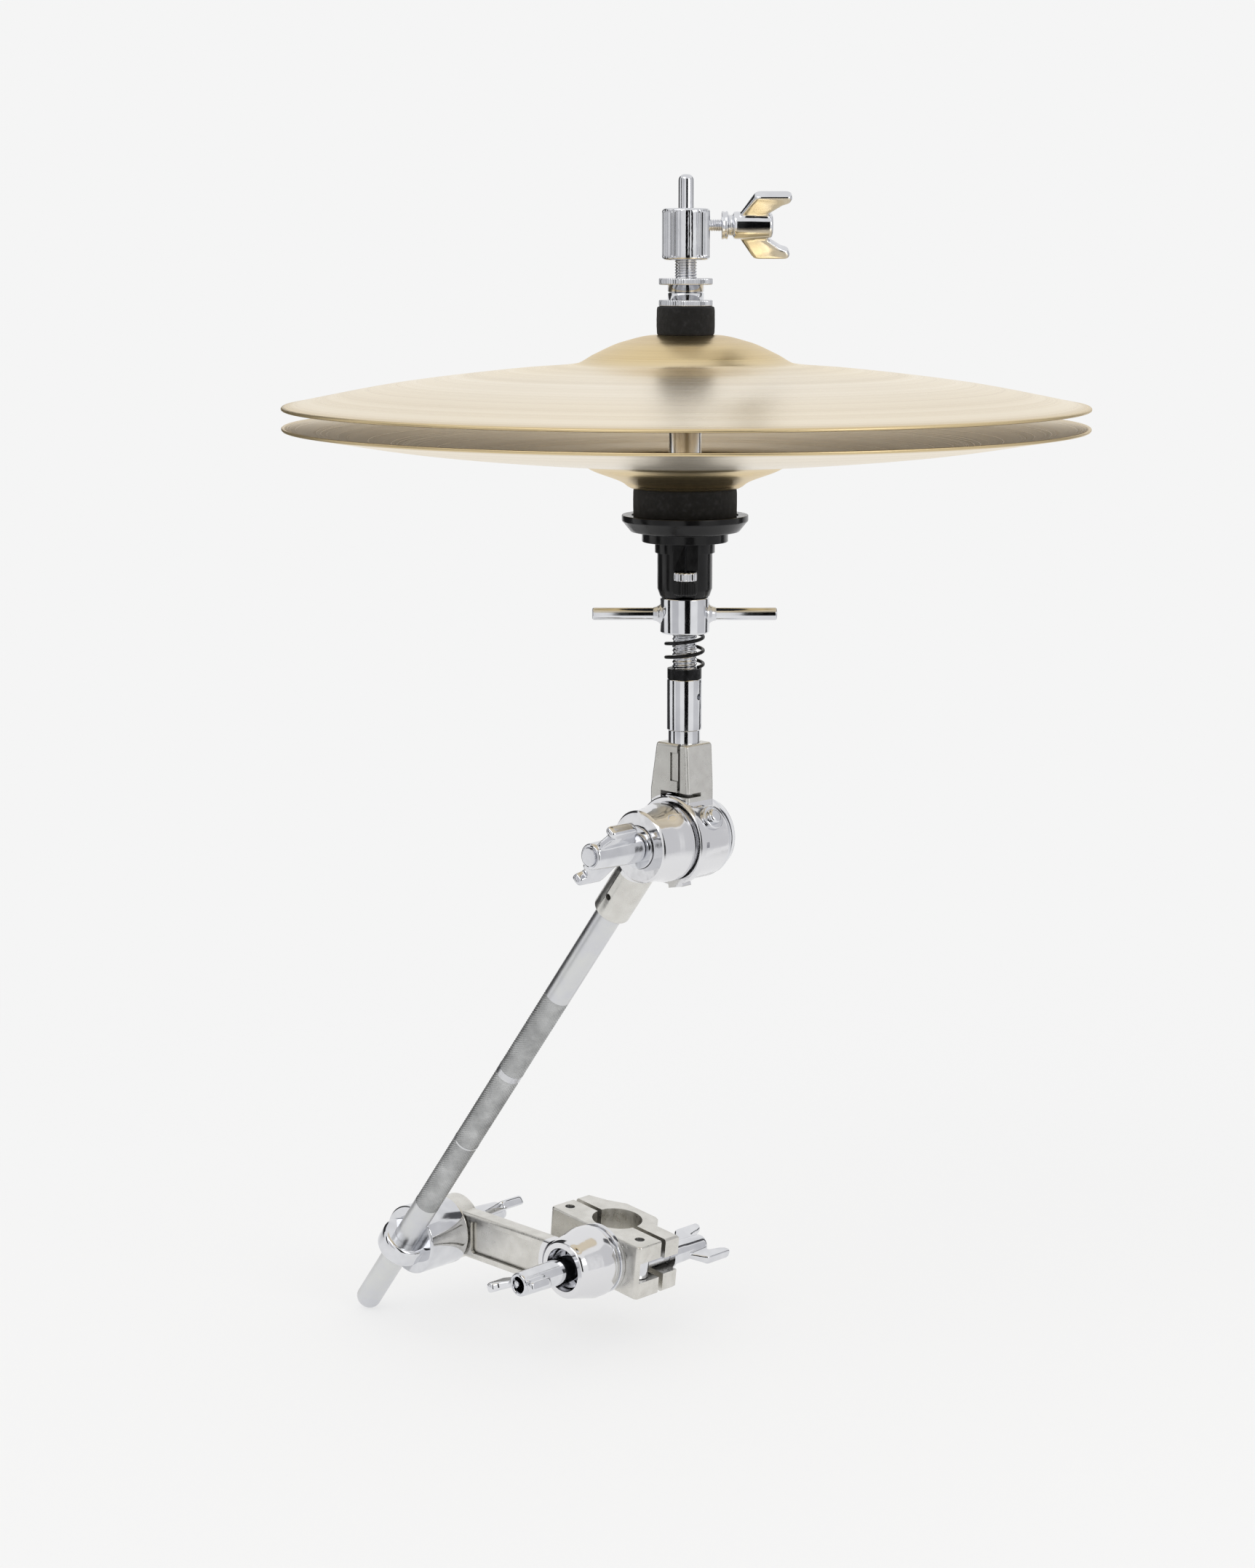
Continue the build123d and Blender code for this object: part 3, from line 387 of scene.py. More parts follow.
@dataclass(frozen=True)
class LathedBronze(Finish):
    """Cast bell bronze, hammered and turned on a lathe: pale gold with fine rings and a deeper bell."""

    centre: tuple[float, float] = (0.0, 0.0)
    edge_radius: float = 0.1778
    bell_radius: float = 0.0485
    groove_mm: float = 0.9

    def build(self) -> Material:
        """Draw lathe rings by distance from the hole, tone bands and shallow hammer marks."""
        material, tree, shader = new_material(self.coat.value)
        tangent = add_node(tree, "ShaderNodeTangent", {"direction_type": "RADIAL", "axis": "Z"})
        place = self.position(tree)
        radius = distance_from_line(tree, place, (1.0, 1.0, 0.0), (*self.centre, 0.0))
        line = add_node(tree, "ShaderNodeCombineXYZ", inputs={0: radius}).outputs[0]
        rings = self.grain(tree, self.groove_mm, 4.0, line)
        bands = self.grain(tree, 9.0, 3.0, line)
        bell = self.bell_radius / self.edge_radius
        tone = self.ramp(tree, math_node(tree, "DIVIDE", radius, self.edge_radius),
                         [(0.05, "DCC596"), (bell * 0.86, "EAD6A9"), (bell * 1.06, "F6EAD0"),
                          (0.6, "FBF3E3"), (0.97, "F8EEDA"), (1.0, "E2CFA6")])
        mean = math_node(tree, "MULTIPLY_ADD", bands, 0.5, math_node(tree, "MULTIPLY", rings, 0.5))
        streaks = self.ramp(tree, mean, [(0.36, "E6DFD4"), (0.52, "F8F4EC"), (0.66, "FFFFFF")])
        hammer = self.bump(tree, self.grain(tree, 16.0, 1.0, place), 0.10)
        # turning lines stretch every highlight across the rings, which gives the fans of light
        fill_inputs(tree, shader, {
            "Metallic": 1.0, "Anisotropic": 0.55, "Tangent": tangent.outputs[0],
            "Base Color": multiply_colours(tree, tone, streaks),
            "Roughness": self.spread_value(tree, rings, 0.24, 0.36),
            "Normal": self.bump(tree, rings, 0.045, hammer)})
        return material


@dataclass(frozen=True)
class MouldedNylon(Finish):
    """Glossy black nylon, injection moulded: a sharp highlight over a faint flow texture."""

    tint: str = "0B0B0C"

    def build(self) -> Material:
        """Draw the moulding: black with a slightly uneven gloss."""
        material, tree, shader = new_material(self.coat.value)
        ripple = self.bump(tree, self.grain(tree, 3.5, 1.0), 0.03)
        fill_inputs(tree, shader, {
            "Specular IOR Level": 0.28,
            "Base Color": self.ramp(tree, self.grain(tree, 8.0, 3.0), [(0.3, self.tint), (0.75, "161617")]),
            "Roughness": self.spread_value(tree, self.grain(tree, 3.0, 3.0), 0.14, 0.26),
            "Normal": self.bump(tree, self.grain(tree, 0.4, 1.0), 0.004, ripple)})
        return material


@dataclass(frozen=True)
class NylonWithSteelTube(MouldedNylon):
    """Moulded nylon over a chromed steel guide tube, which shows above the cup."""

    axis: tuple[float, float] = (0.0, 0.0)
    tube_radius: float = 0.00745
    tube_from: float = 0.0

    def build(self) -> Material:
        """Draw the nylon, and chrome wherever the tube stands clear above the cup."""
        material = super().build()
        tree = material.node_tree
        steel = self.bare_metal(tree, "E2E2E4", 4.0, 0.07, 0.14)
        place = self.position(tree)
        height = add_node(tree, "ShaderNodeSeparateXYZ", inputs={0: place}).outputs[2]
        away = distance_from_line(tree, place, (1.0, 1.0, 0.0), (*self.axis, 0.0))
        inside = math_node(tree, "LESS_THAN", away, self.tube_radius)
        above = math_node(tree, "GREATER_THAN", height, self.tube_from)
        layer_shaders(tree, math_node(tree, "MULTIPLY", inside, above), tree.nodes["Principled BSDF"], steel)
        return material


@dataclass(frozen=True)
class WoolFelt(Finish):
    """Black pressed wool felt: matte, with a tangle of fibres and a soft halo."""

    fibre_mm: float = 0.45

    def build(self) -> Material:
        """Draw the felt: fibres as stretched noise in two directions, over lumps of wool."""
        material, tree, shader = new_material(self.coat.value)
        place = self.position(tree)
        tangles = []
        for turn in ((0.3, 0.2, 0.7), (1.1, 0.5, 2.2)):
            inputs = {"Vector": place, "Rotation": turn, "Scale": (1, 1, 4)}
            lay = add_node(tree, "ShaderNodeMapping", inputs=inputs)
            tangles.append(self.grain(tree, self.fibre_mm, 4.0, lay.outputs[0]))
        fibres = math_node(tree, "MAXIMUM", *tangles)
        lumps = self.grain(tree, 2.5, 2.0)
        tone = math_node(tree, "MULTIPLY_ADD", lumps, 0.5, math_node(tree, "MULTIPLY", fibres, 0.5))
        fill_inputs(tree, shader, {
            "Sheen Weight": 0.25, "Sheen Roughness": 0.5, "Sheen Tint": linear_rgb("77777A"),
            "Roughness": 0.95,
            "Base Color": self.ramp(tree, tone, [(0.4, "080808"), (0.55, "131314"), (0.68, "2B2B2D")]),
            "Normal": self.bump(tree, fibres, 0.30, self.bump(tree, lumps, 0.35))})
        return material


@dataclass(frozen=True)
class BlackOxideSteel(Finish):
    """Drawn spring steel with an oiled black oxide: dark, with soft grey wear where it rubs."""

    def build(self) -> Material:
        """Draw the oxide: near black metal with worn grey patches and drawing lines."""
        material, tree, shader = new_material(self.coat.value)
        wear = self.grain(tree, 2.5, 4.0)
        fill_inputs(tree, shader, {
            "Metallic": 0.7,
            "Base Color": self.ramp(tree, wear, [(0.45, "111112"), (0.6, "1D1D1F"), (0.78, "4A4A4C")]),
            "Roughness": self.spread_value(tree, wear, 0.28, 0.42),
            "Normal": self.bump(tree, self.grain(tree, 0.35, 2.0), 0.015)})
        return material


class Places:
    """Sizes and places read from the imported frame."""

    def __init__(self) -> None:
        """Read the joints, the post's axis and the boom's axis."""
        self.joints = {joint["name"]: joint for joint in frame["record"]["behaviour"]["joints"]}
        low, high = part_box("pull_rod")
        self.post = Vector(((low.x + high.x) / 2, (low.y + high.y) / 2, 0.0))
        self.boom_axis = Vector(self.joints["boom_slide"]["axis"]).normalized()
        tilter = Vector(self.joints["tilter_tilt"]["pos_m"])
        boom_y = sum(corner.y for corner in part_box("boom_tube")) / 2
        self.tilter = Vector((tilter.x, boom_y, tilter.z))
        self.right = Vector(self.joints["clutch_screw_turn"]["axis"]).normalized()

    def low(self, node: str) -> float:
        """Lowest height of a CAD node."""
        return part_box(node)[0].z

    def high(self, node: str) -> float:
        """Highest height of a CAD node."""
        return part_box(node)[1].z

    def radius(self, node: str) -> float:
        """Half the width of a round CAD node on the post."""
        low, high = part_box(node)
        return (high.x - low.x) / 2

    def on_post(self, height: float = 0.0) -> Matrix:
        """Placement about the post's axis."""
        return Matrix.Translation((self.post.x, self.post.y, height))

    def down_boom(self) -> Matrix:
        """Placement whose Z runs down the boom from the tilter's axis."""
        turn = (-self.boom_axis).to_track_quat("Z", "Y").to_matrix().to_4x4()
        return Matrix.Translation(self.tilter) @ turn

    def on_joint(self, joint: str, start: Vector, outward: Vector, across: Vector, spin: float) -> Matrix:
        """Placement along an outward direction, spun about it.

        Args:
            joint: joint whose axis line the piece turns about.
            start: a point whose place along the axis is the piece's base.
            outward: the direction of the piece's own Z.
            across: roughly the direction of the piece's own X before the spin.
            spin: turn about the outward direction, in degrees.

        Returns:
            The placement matrix.
        """
        pivot = Vector(self.joints[joint]["pos_m"])
        line = Vector(self.joints[joint]["axis"]).normalized()
        axis = line if line.dot(outward) > 0 else -line
        base = pivot + axis * (start - pivot).dot(axis)
        side = (across - axis * across.dot(axis)).normalized()
        turn = Matrix((side, axis.cross(side), axis)).transposed().to_4x4()
        return Matrix.Translation(base) @ turn @ Matrix.Rotation(math.radians(spin), 4, "Z")


def add_object(name: str, data: ID) -> Object:
    """Put an object that holds some data in the scene."""
    item = bpy.data.objects.new(name, data)
    bpy.context.scene.collection.objects.link(item)
    return item


def new_piece(name: str, mesh: Mesh, material: Material, body: str,
              stands_for: Sequence[str] = ()) -> Object:
    """Put a mesh in the scene as a piece that rides on a body.

    Args:
        name: the piece's name.
        mesh: its mesh, already in place.
        material: its finish.
        body: the CAD body that it moves with.
        stands_for: the CAD nodes that it replaces.

    Returns:
        The new object.
    """
    piece = add_object(name, mesh)
    mesh.materials.clear()
    mesh.materials.append(material)
    mesh.polygons.foreach_set("use_smooth", [True] * len(mesh.polygons))
    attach(piece, body)
    if stands_for:
        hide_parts(*stands_for)
    LOG.info("%s rides on %s with %d faces", name, body, len(mesh.polygons))
    return piece


def lathe(name: str, profile: Sequence[Point], place: Matrix, segments: int = 96,
          ripple: Ripple | None = None) -> Mesh:
    """Turn a closed ring profile about Z.

    Args:
        name: the mesh's name.
        profile: (radius, height) corners in metres, going round a closed section off the axis.
        place: where the piece stands.
        segments: how many steps around.
        ripple: what is added to the radius at (angle, height), for ribs and threads.

    Returns:
        The closed mesh.
    """
    mesh = bpy.data.meshes.new(name)
    verts, faces = [], []
    count = len(profile)
    for step in range(segments):
        angle = 2 * math.pi * step / segments
        for radius, height in profile:
            reach = radius + (ripple(angle, height) if ripple and radius > 0 else 0.0)
            verts.append((reach * math.cos(angle), reach * math.sin(angle), height))
    for step in range(segments):
        here, there = step * count, (step + 1) % segments * count
        for index in range(count):
            after = (index + 1) % count
            faces.append((here + index, there + index, there + after, here + after))
    mesh.from_pydata(verts, [], faces)
    mesh.transform(place)
    tidy_mesh(mesh)
    return mesh


def tidy_mesh(mesh: Mesh) -> None:
    """Merge points that meet and turn all faces outwards."""
    work = bmesh.new()
    work.from_mesh(mesh)
    bmesh.ops.remove_doubles(work, verts=work.verts, dist=1e-7)
    bmesh.ops.dissolve_degenerate(work, edges=work.edges, dist=1e-8)
    bmesh.ops.recalc_face_normals(work, faces=work.faces)
    work.to_mesh(mesh)
    work.free()


def steps(start: float, end: float, size: float) -> list[float]:
    """Evenly spaced values from start to end, no further apart than size."""
    count = max(1, math.ceil(abs(end - start) / size))
    return [start + (end - start) * index / count for index in range(count + 1)]


def round_corner(inner: Point, corner: Point, outer: Point, radius: float, count: int = 4) -> list[Point]:
    """Round one corner of a profile.

    Args:
        inner: the point before the corner.
        corner: the corner.
        outer: the point after it.
        radius: how far from the corner the curve starts.
        count: steps in the curve.

    Returns:
        The points of a smooth bend in place of the corner.
    """
    middle = Vector(corner)
    start = middle + (Vector(inner) - middle).normalized() * radius
    end = middle + (Vector(outer) - middle).normalized() * radius
    bend = []
    for index in range(count + 1):
        t = index / count
        bend.append(tuple(start * (1 - t) ** 2 + middle * 2 * t * (1 - t) + end * t ** 2))
    return bend


def dress(node: str, material: Material, bevel: float = 0.0) -> None:
    """Give a CAD node its finish, and break its sharp edges if asked.

    Args:
        node: the CAD node.
        material: its finish.
        bevel: width of the broken edge in metres, or 0 for none.
    """
    item = frame["nodes"][node]
    if not item.material_slots:
        item.data.materials.append(material)
    for material_slot in item.material_slots:
        material_slot.material = material
    weld = item.modifiers.new("weld", "WELD")
    weld.merge_threshold = 1e-6
    if bevel:
        edge = item.modifiers.new("edge", "BEVEL")
        edge.width = bevel
        edge.segments = 3
        edge.limit_method = "ANGLE"
        edge.angle_limit = math.radians(32)
        edge.use_clamp_overlap = True
        edge.harden_normals = False
    LOG.info("%s dressed in %s", node, material.name)


def screw_thread(pitch: float, depth: float, start: float, end: float) -> Ripple:
    """A V thread between two heights, as a change of radius."""
    def shape(angle: float, height: float) -> float:
        if not start <= height <= end:
            return 0.0
        phase = (height / pitch - angle / (2 * math.pi)) % 1.0
        return -depth * abs(2 * phase - 1)
    return shape


def ribs(count: int, depth: float, start: float, end: float) -> Ripple:
    """Straight ribs between two heights, as a change of radius."""
    def shape(angle: float, height: float) -> float:
        if not start <= height <= end:
            return 0.0
        return -depth * (0.5 - 0.5 * math.cos(count * angle))
    return shape


@dataclass
class WingHead:
    """A die-cast wing head: a round hub with two blades that widen outwards, along +Z."""

    hub_radius: float
    hub_length: float
    bore_radius: float
    root: float
    reach: float
    half_span: float
    thickness: float
    voxel: float = 0.36 * MM
    taper: float = 0.90

    def outline(self) -> list[Point]:
        """Corners of one blade, seen flat: out along the foot, up the tip and back to the hub."""
        hub, tip, top = self.hub_radius, self.half_span, self.reach
        foot = self.root + (top - self.root) * 0.3
        return [(hub * 0.3, self.root), (hub * 0.95, self.root + 0.2 * MM),
                (tip - 1.6 * MM, foot - 1.0 * MM), (tip - 0.3 * MM, foot + 0.2 * MM), (tip, foot + 2.0 * MM),
                (tip, top - 1.6 * MM), (tip - 0.6 * MM, top - 0.4 * MM), (tip - 2.0 * MM, top),
                (tip - 3.9 * MM, top - 0.9 * MM), (tip - 5.2 * MM, top - 4.0 * MM),
                (hub * 1.15, self.hub_length - 1.8 * MM), (hub * 0.3, self.hub_length - 2.2 * MM)]

    @classmethod
    def from_mm(cls, **sizes: float) -> "WingHead":
        """Make a head from its sizes in millimetres."""
        return cls(**{name: size * MM for name, size in sizes.items()})

    def blade(self, work: bmesh.types.BMesh, side: int) -> None:
        """Add one blade with rounded edges, thicker towards its tip."""
        layers = ((-0.5, 0.90), (-0.40, 0.98), (-0.2, 1.0), (0.2, 1.0), (0.40, 0.98), (0.5, 0.90))
        outline = self.outline()
        centre = Vector((sum(p[0] for p in outline), sum(p[1] for p in outline))) / len(outline)
        rows = []
        for offset, scale in layers:
            row = []
            for x, z in outline:
                swell = 0.72 + 0.50 * min(1.0, max(0.0, x / self.half_span)) ** 2
                flat = centre + (Vector((x, z)) - centre) * scale
                row.append(work.verts.new((side * flat.x, offset * self.thickness * swell, flat.y)))
            rows.append(row)
        count = len(outline)
        for first, second in zip(rows, rows[1:]):
            for index in range(count):
                after = (index + 1) % count
                work.faces.new((first[index], first[after], second[after], second[index]))
        work.faces.new(rows[0])
        work.faces.new(list(reversed(rows[-1])))

    def build(self, name: str, place: Matrix, collars: Sequence[Collar] = ()) -> Mesh:
        """Cast the head: hub, blades and collars melted into one skin.

        Args:
            name: the mesh's name.
            place: where the head stands.
            collars: (radius, start, end) of extra round steps along the axis.

        Returns:
            The smooth closed mesh, in place.
        """
        work = bmesh.new()
        for side in (-1, 1):
            self.blade(work, side)
        bmesh.ops.recalc_face_normals(work, faces=work.faces)
        blades = mesh_from(work, name + "_rough")
        bore, wide, long, soft = self.bore_radius, self.hub_radius, self.hub_length, 0.3 * MM
        end_radius = wide * self.taper
        hub = [(bore, 0.0), (wide - 0.6 * MM, 0.0), (wide, 0.6 * MM), (wide, long * 0.35),
               (end_radius, long - 0.8 * MM), (end_radius - 0.8 * MM, long), (bore, long)]
        shapes = [lathe(name + "_hub", hub, Matrix(), 64)]
        for index, (radius, start, end) in enumerate(collars):
            ring = [(bore, start), (radius - soft, start), (radius, start + soft),
                    (radius, end - soft), (radius - soft, end), (bore, end)]
            shapes.append(lathe(f"{name}_collar{index}", ring, Matrix(), 64))
        holder = add_object(name + "_holder", join_meshes(name + "_joined", [blades, *shapes]))
        remesh = holder.modifiers.new("skin", "REMESH")
        remesh.mode = "VOXEL"
        remesh.voxel_size = self.voxel
        smooth = holder.modifiers.new("flow", "CORRECTIVE_SMOOTH")
        smooth.use_only_smooth = True
        smooth.iterations = 9
        smooth.factor = 0.6
        graph = bpy.context.evaluated_depsgraph_get()
        mesh = bpy.data.meshes.new_from_object(holder.evaluated_get(graph))
        mesh.name = name
        bpy.data.objects.remove(holder)
        mesh.transform(place)
        return mesh


def mesh_from(work: bmesh.types.BMesh, name: str) -> Mesh:
    """Turn a working mesh, which is used up, into a named one."""
    mesh = bpy.data.meshes.new(name)
    work.to_mesh(mesh)
    work.free()
    return mesh


def join_meshes(name: str, meshes: Sequence[Mesh]) -> Mesh:
    """Join meshes, which are used up, into one."""
    work = bmesh.new()
    for mesh in meshes:
        work.from_mesh(mesh)
        bpy.data.meshes.remove(mesh)
    return mesh_from(work, name)


@dataclass
class Finishes:
    """All the finishes of the hi-hat, built once and shared."""

    places: Places
    made: dict[Coat, Material] = field(default_factory=dict)

    def build(self) -> None:
        """Build each finish."""
        post = (self.places.post.x, self.places.post.y)
        swivel = tuple(self.places.joints["swivel_turn"]["pos_m"])
        tilter = tuple(self.places.joints["tilter_tilt"]["pos_m"])
        kinds = [
            ChromePlate(Coat.CHROME),
            ChromePlate(Coat.SOFT_CHROME, "DCDDE0", 0.14),
            ChromePlate(Coat.SATIN_BAR, "D9DAD9", 0.27),
            ZincCasting(Coat.ZINC),
            ZincCastingBuffedRound(Coat.ZINC_CONE, centre=swivel),
            *[ZincCastingBuffedRound(coat, "DFDED9", "D2D0CB", centre=tilter, round_radius=radius)
              for coat, radius in ((Coat.ZINC_BARREL, 18.4 * MM), (Coat.ZINC_RING, 21.4 * MM))],
            KnurledSteel(Coat.KNURL),
            LathedBronze(Coat.BRONZE, post),
            MouldedNylon(Coat.NYLON),
            NylonWithSteelTube(Coat.NYLON_ON_TUBE, axis=post, tube_from=self.places.high("seat_felt")),
            WoolFelt(Coat.FELT),
            BlackOxideSteel(Coat.BLACK_STEEL)]
        for kind in kinds:
            self.made[kind.coat] = kind.build()

    def __getitem__(self, coat: Coat) -> Material:
        """The material of one finish."""
        return self.made[coat]


@dataclass
class Assembly:
    """A sub-assembly of the hi-hat, which builds and dresses its own pieces."""

    places: Places
    finishes: Finishes

    def turn_piece(self, name: str, profile: Sequence[Point], coat: Coat, body: str, node: str, segments: int,
                   ripple: Ripple | None = None, place: Matrix | None = None) -> None:
        """Turn a piece that stands for a CAD node.

        Args:
            name: the piece's name.
            profile: its closed section, as lathe takes it.
            coat: its finish.
            body: the CAD body that it moves with.
            node: the CAD node that it replaces.
            segments: how many steps around.
            ripple: ribs or a thread.
            place: where it stands, or None for the post's axis.
        """
        mesh = lathe(name, profile, self.places.on_post() if place is None else place, segments, ripple)
        new_piece(name, mesh, self.finishes[coat], body, [node])

    def dress_nodes(self, coat: Coat, bevel_mm: float, *nodes: str) -> None:
        """Give CAD nodes one finish and break their edges by a width in millimetres."""
        for node in nodes:
            dress(node, self.finishes[coat], bevel_mm * MM)

    def cast_wing_nut(self, prefix: str, head: WingHead, sense: int, spin: float,
                      collars: Sequence[Collar] = ()) -> None:
        """Cast a wing nut in place of its CAD node.

        Args:
            prefix: how the names of its node, its joint and its piece start.
            head: the shape of its head.
            sense: 1 where the head points along +Y and -1 where it points along -Y.
            spin: its turn about its axis, in degrees.
            collars: round steps, as WingHead.build takes them.
        """
        node, name = prefix + "_wing_nut", prefix + "_wing_cast"
        low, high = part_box(node)
        place = self.places.on_joint(prefix + "_nut_turn", low if sense > 0 else high, Vector((0, sense, 0)),
                                     Vector((1, 0, 0)), spin)
        new_piece(name, head.build(name, place, collars), self.finishes[Coat.CHROME], node, [node])


@dataclass
class CymbalPair(Assembly):
    """Two lathed bronze cymbals, the lower one upside down."""

    thickness: float = 1.3 * MM
    bell_radius: float = 48.5 * MM
    ring_step: float = 1.5 * MM
    segments: int = 220

    def rise(self, radius: float, bow: float, bell: float, edge: float, crown: float) -> float:
        """Height above the edge at a radius.

        Args:
            radius: distance from the post's axis.
            bow: height of the bow at the foot of the bell.
            bell: height of the bell above that.
            edge: radius of the edge.
            crown: radius of the flat crown.

        Returns:
            The height in metres.
        """
        if radius <= crown:
            return bow + bell
        radii = [crown, self.bell_radius * 0.58, self.bell_radius * 0.84, self.bell_radius,
                 edge * 0.456, edge * 0.73, edge]
        heights = [bow + bell, bow + bell * 0.76, bow + bell * 0.32, bow, bow * 0.83, bow * 0.5, 0.0]
        slopes = self.slopes(radii, heights)
        index = max(i for i in range(len(radii) - 1) if radii[i] <= radius + 1e-12)
        width = radii[index + 1] - radii[index]
        t = (radius - radii[index]) / width
        start, end = heights[index], heights[index + 1]
        return ((2 * t ** 3 - 3 * t ** 2 + 1) * start + (t ** 3 - 2 * t ** 2 + t) * width * slopes[index]
                + (-2 * t ** 3 + 3 * t ** 2) * end + (t ** 3 - t ** 2) * width * slopes[index + 1])

    def slopes(self, radii: Sequence[float], heights: Sequence[float]) -> list[float]:
        """Slopes at the profile's points that keep it free of bumps."""
        steep = [(heights[i + 1] - heights[i]) / (radii[i + 1] - radii[i]) for i in range(len(radii) - 1)]
        middle = [2 * a * b / (a + b) if a * b > 0 else 0.0 for a, b in zip(steep, steep[1:])]
        return [0.0, *middle, steep[-1]]

    def build_one(self, node: str, sense: int, hole: float, bow: float, bell: float, crown: float) -> None:
        """Turn one cymbal with a rounded edge.

        Args:
            node: its CAD node.
            sense: 1 where its bell points up and -1 where it points down.
            hole: radius of its hole, in metres as are the rest.
            bow: height of its bow.
            bell: height of its bell.
            crown: radius of its flat crown.
        """
        low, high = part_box(node)
        edge = (high.x - low.x) / 2
        edge_height = low.z + self.thickness if sense > 0 else high.z - self.thickness
        radii = steps(hole, edge - 0.4 * MM, self.ring_step)
        outer = [(r, edge_height + sense * self.rise(r, bow, bell, edge, crown)) for r in radii]
        inner = [(r, z - sense * self.thickness) for r, z in outer]
        middle, soft, half = edge_height - sense * self.thickness / 2, 0.08 * MM, sense * 0.35 * MM
        rim = [(edge - soft, middle + half), (edge, middle), (edge - soft, middle - half)]
        profile = [*outer, *rim, *reversed(inner)]
        self.turn_piece(node + "_turned", profile, Coat.BRONZE, node, node, self.segments)

    def build(self) -> None:
        """Turn both cymbals."""
        self.build_one("top_cymbal", 1, 5.6 * MM, 18.0 * MM, 12.5 * MM, 13.5 * MM)
        self.build_one("bottom_cymbal", -1, 7.9 * MM, 15.5 * MM, 11.0 * MM, 24.0 * MM)


@dataclass
class FeltRing(Assembly):
    """A pressed felt washer: crowned sides, soft corners and a fuzzy, slightly uneven skin."""

    node: str
    body: str
    bore: float
    seed: float
    crown: float = 0.35 * MM
    fuzz: float = 0.14 * MM
    corner: float = 1.1 * MM
    segments: int = 150

    def uneven(self, angle: float, height: float) -> float:
        """Lumps of wool around the ring, as a change of radius."""
        spot = Vector((math.cos(angle) * 9, math.sin(angle) * 9, height / (1.6 * MM) + self.seed))
        return -self.fuzz * (0.5 + 0.5 * noise.noise(spot)) - self.fuzz * 0.4 * abs(noise.noise(spot * 3.1))

    def build(self) -> None:
        """Build the ring with its sides swelling a little between its faces."""
        low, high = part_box(self.node)
        bulge = self.crown * 0.4
        radius = (high.x - low.x) / 2 - bulge
        heights = steps(low.z + self.corner, high.z - self.corner, 0.7 * MM)
        middle, half = (low.z + high.z) / 2, (high.z - low.z) / 2
        side = [(radius + bulge * (1 - ((z - middle) / half) ** 2), z) for z in heights]
        bottom = round_corner((0, low.z), (radius, low.z), (radius, high.z), self.corner)
        top = round_corner((radius, low.z), (radius, high.z), (0, high.z), self.corner)
        flat_end, step = radius - self.corner * 1.4, 1.2 * MM
        profile = [*[(r, low.z) for r in steps(self.bore, flat_end, step)], *bottom, *side[1:-1], *top,
                   *[(r, high.z) for r in steps(flat_end, self.bore, step)]]
        name = self.node + "_pressed"
        mesh = lathe(name, profile, self.places.on_post(), self.segments, self.uneven)
        piece = new_piece(name, mesh, self.finishes[Coat.FELT], self.body, [self.node])


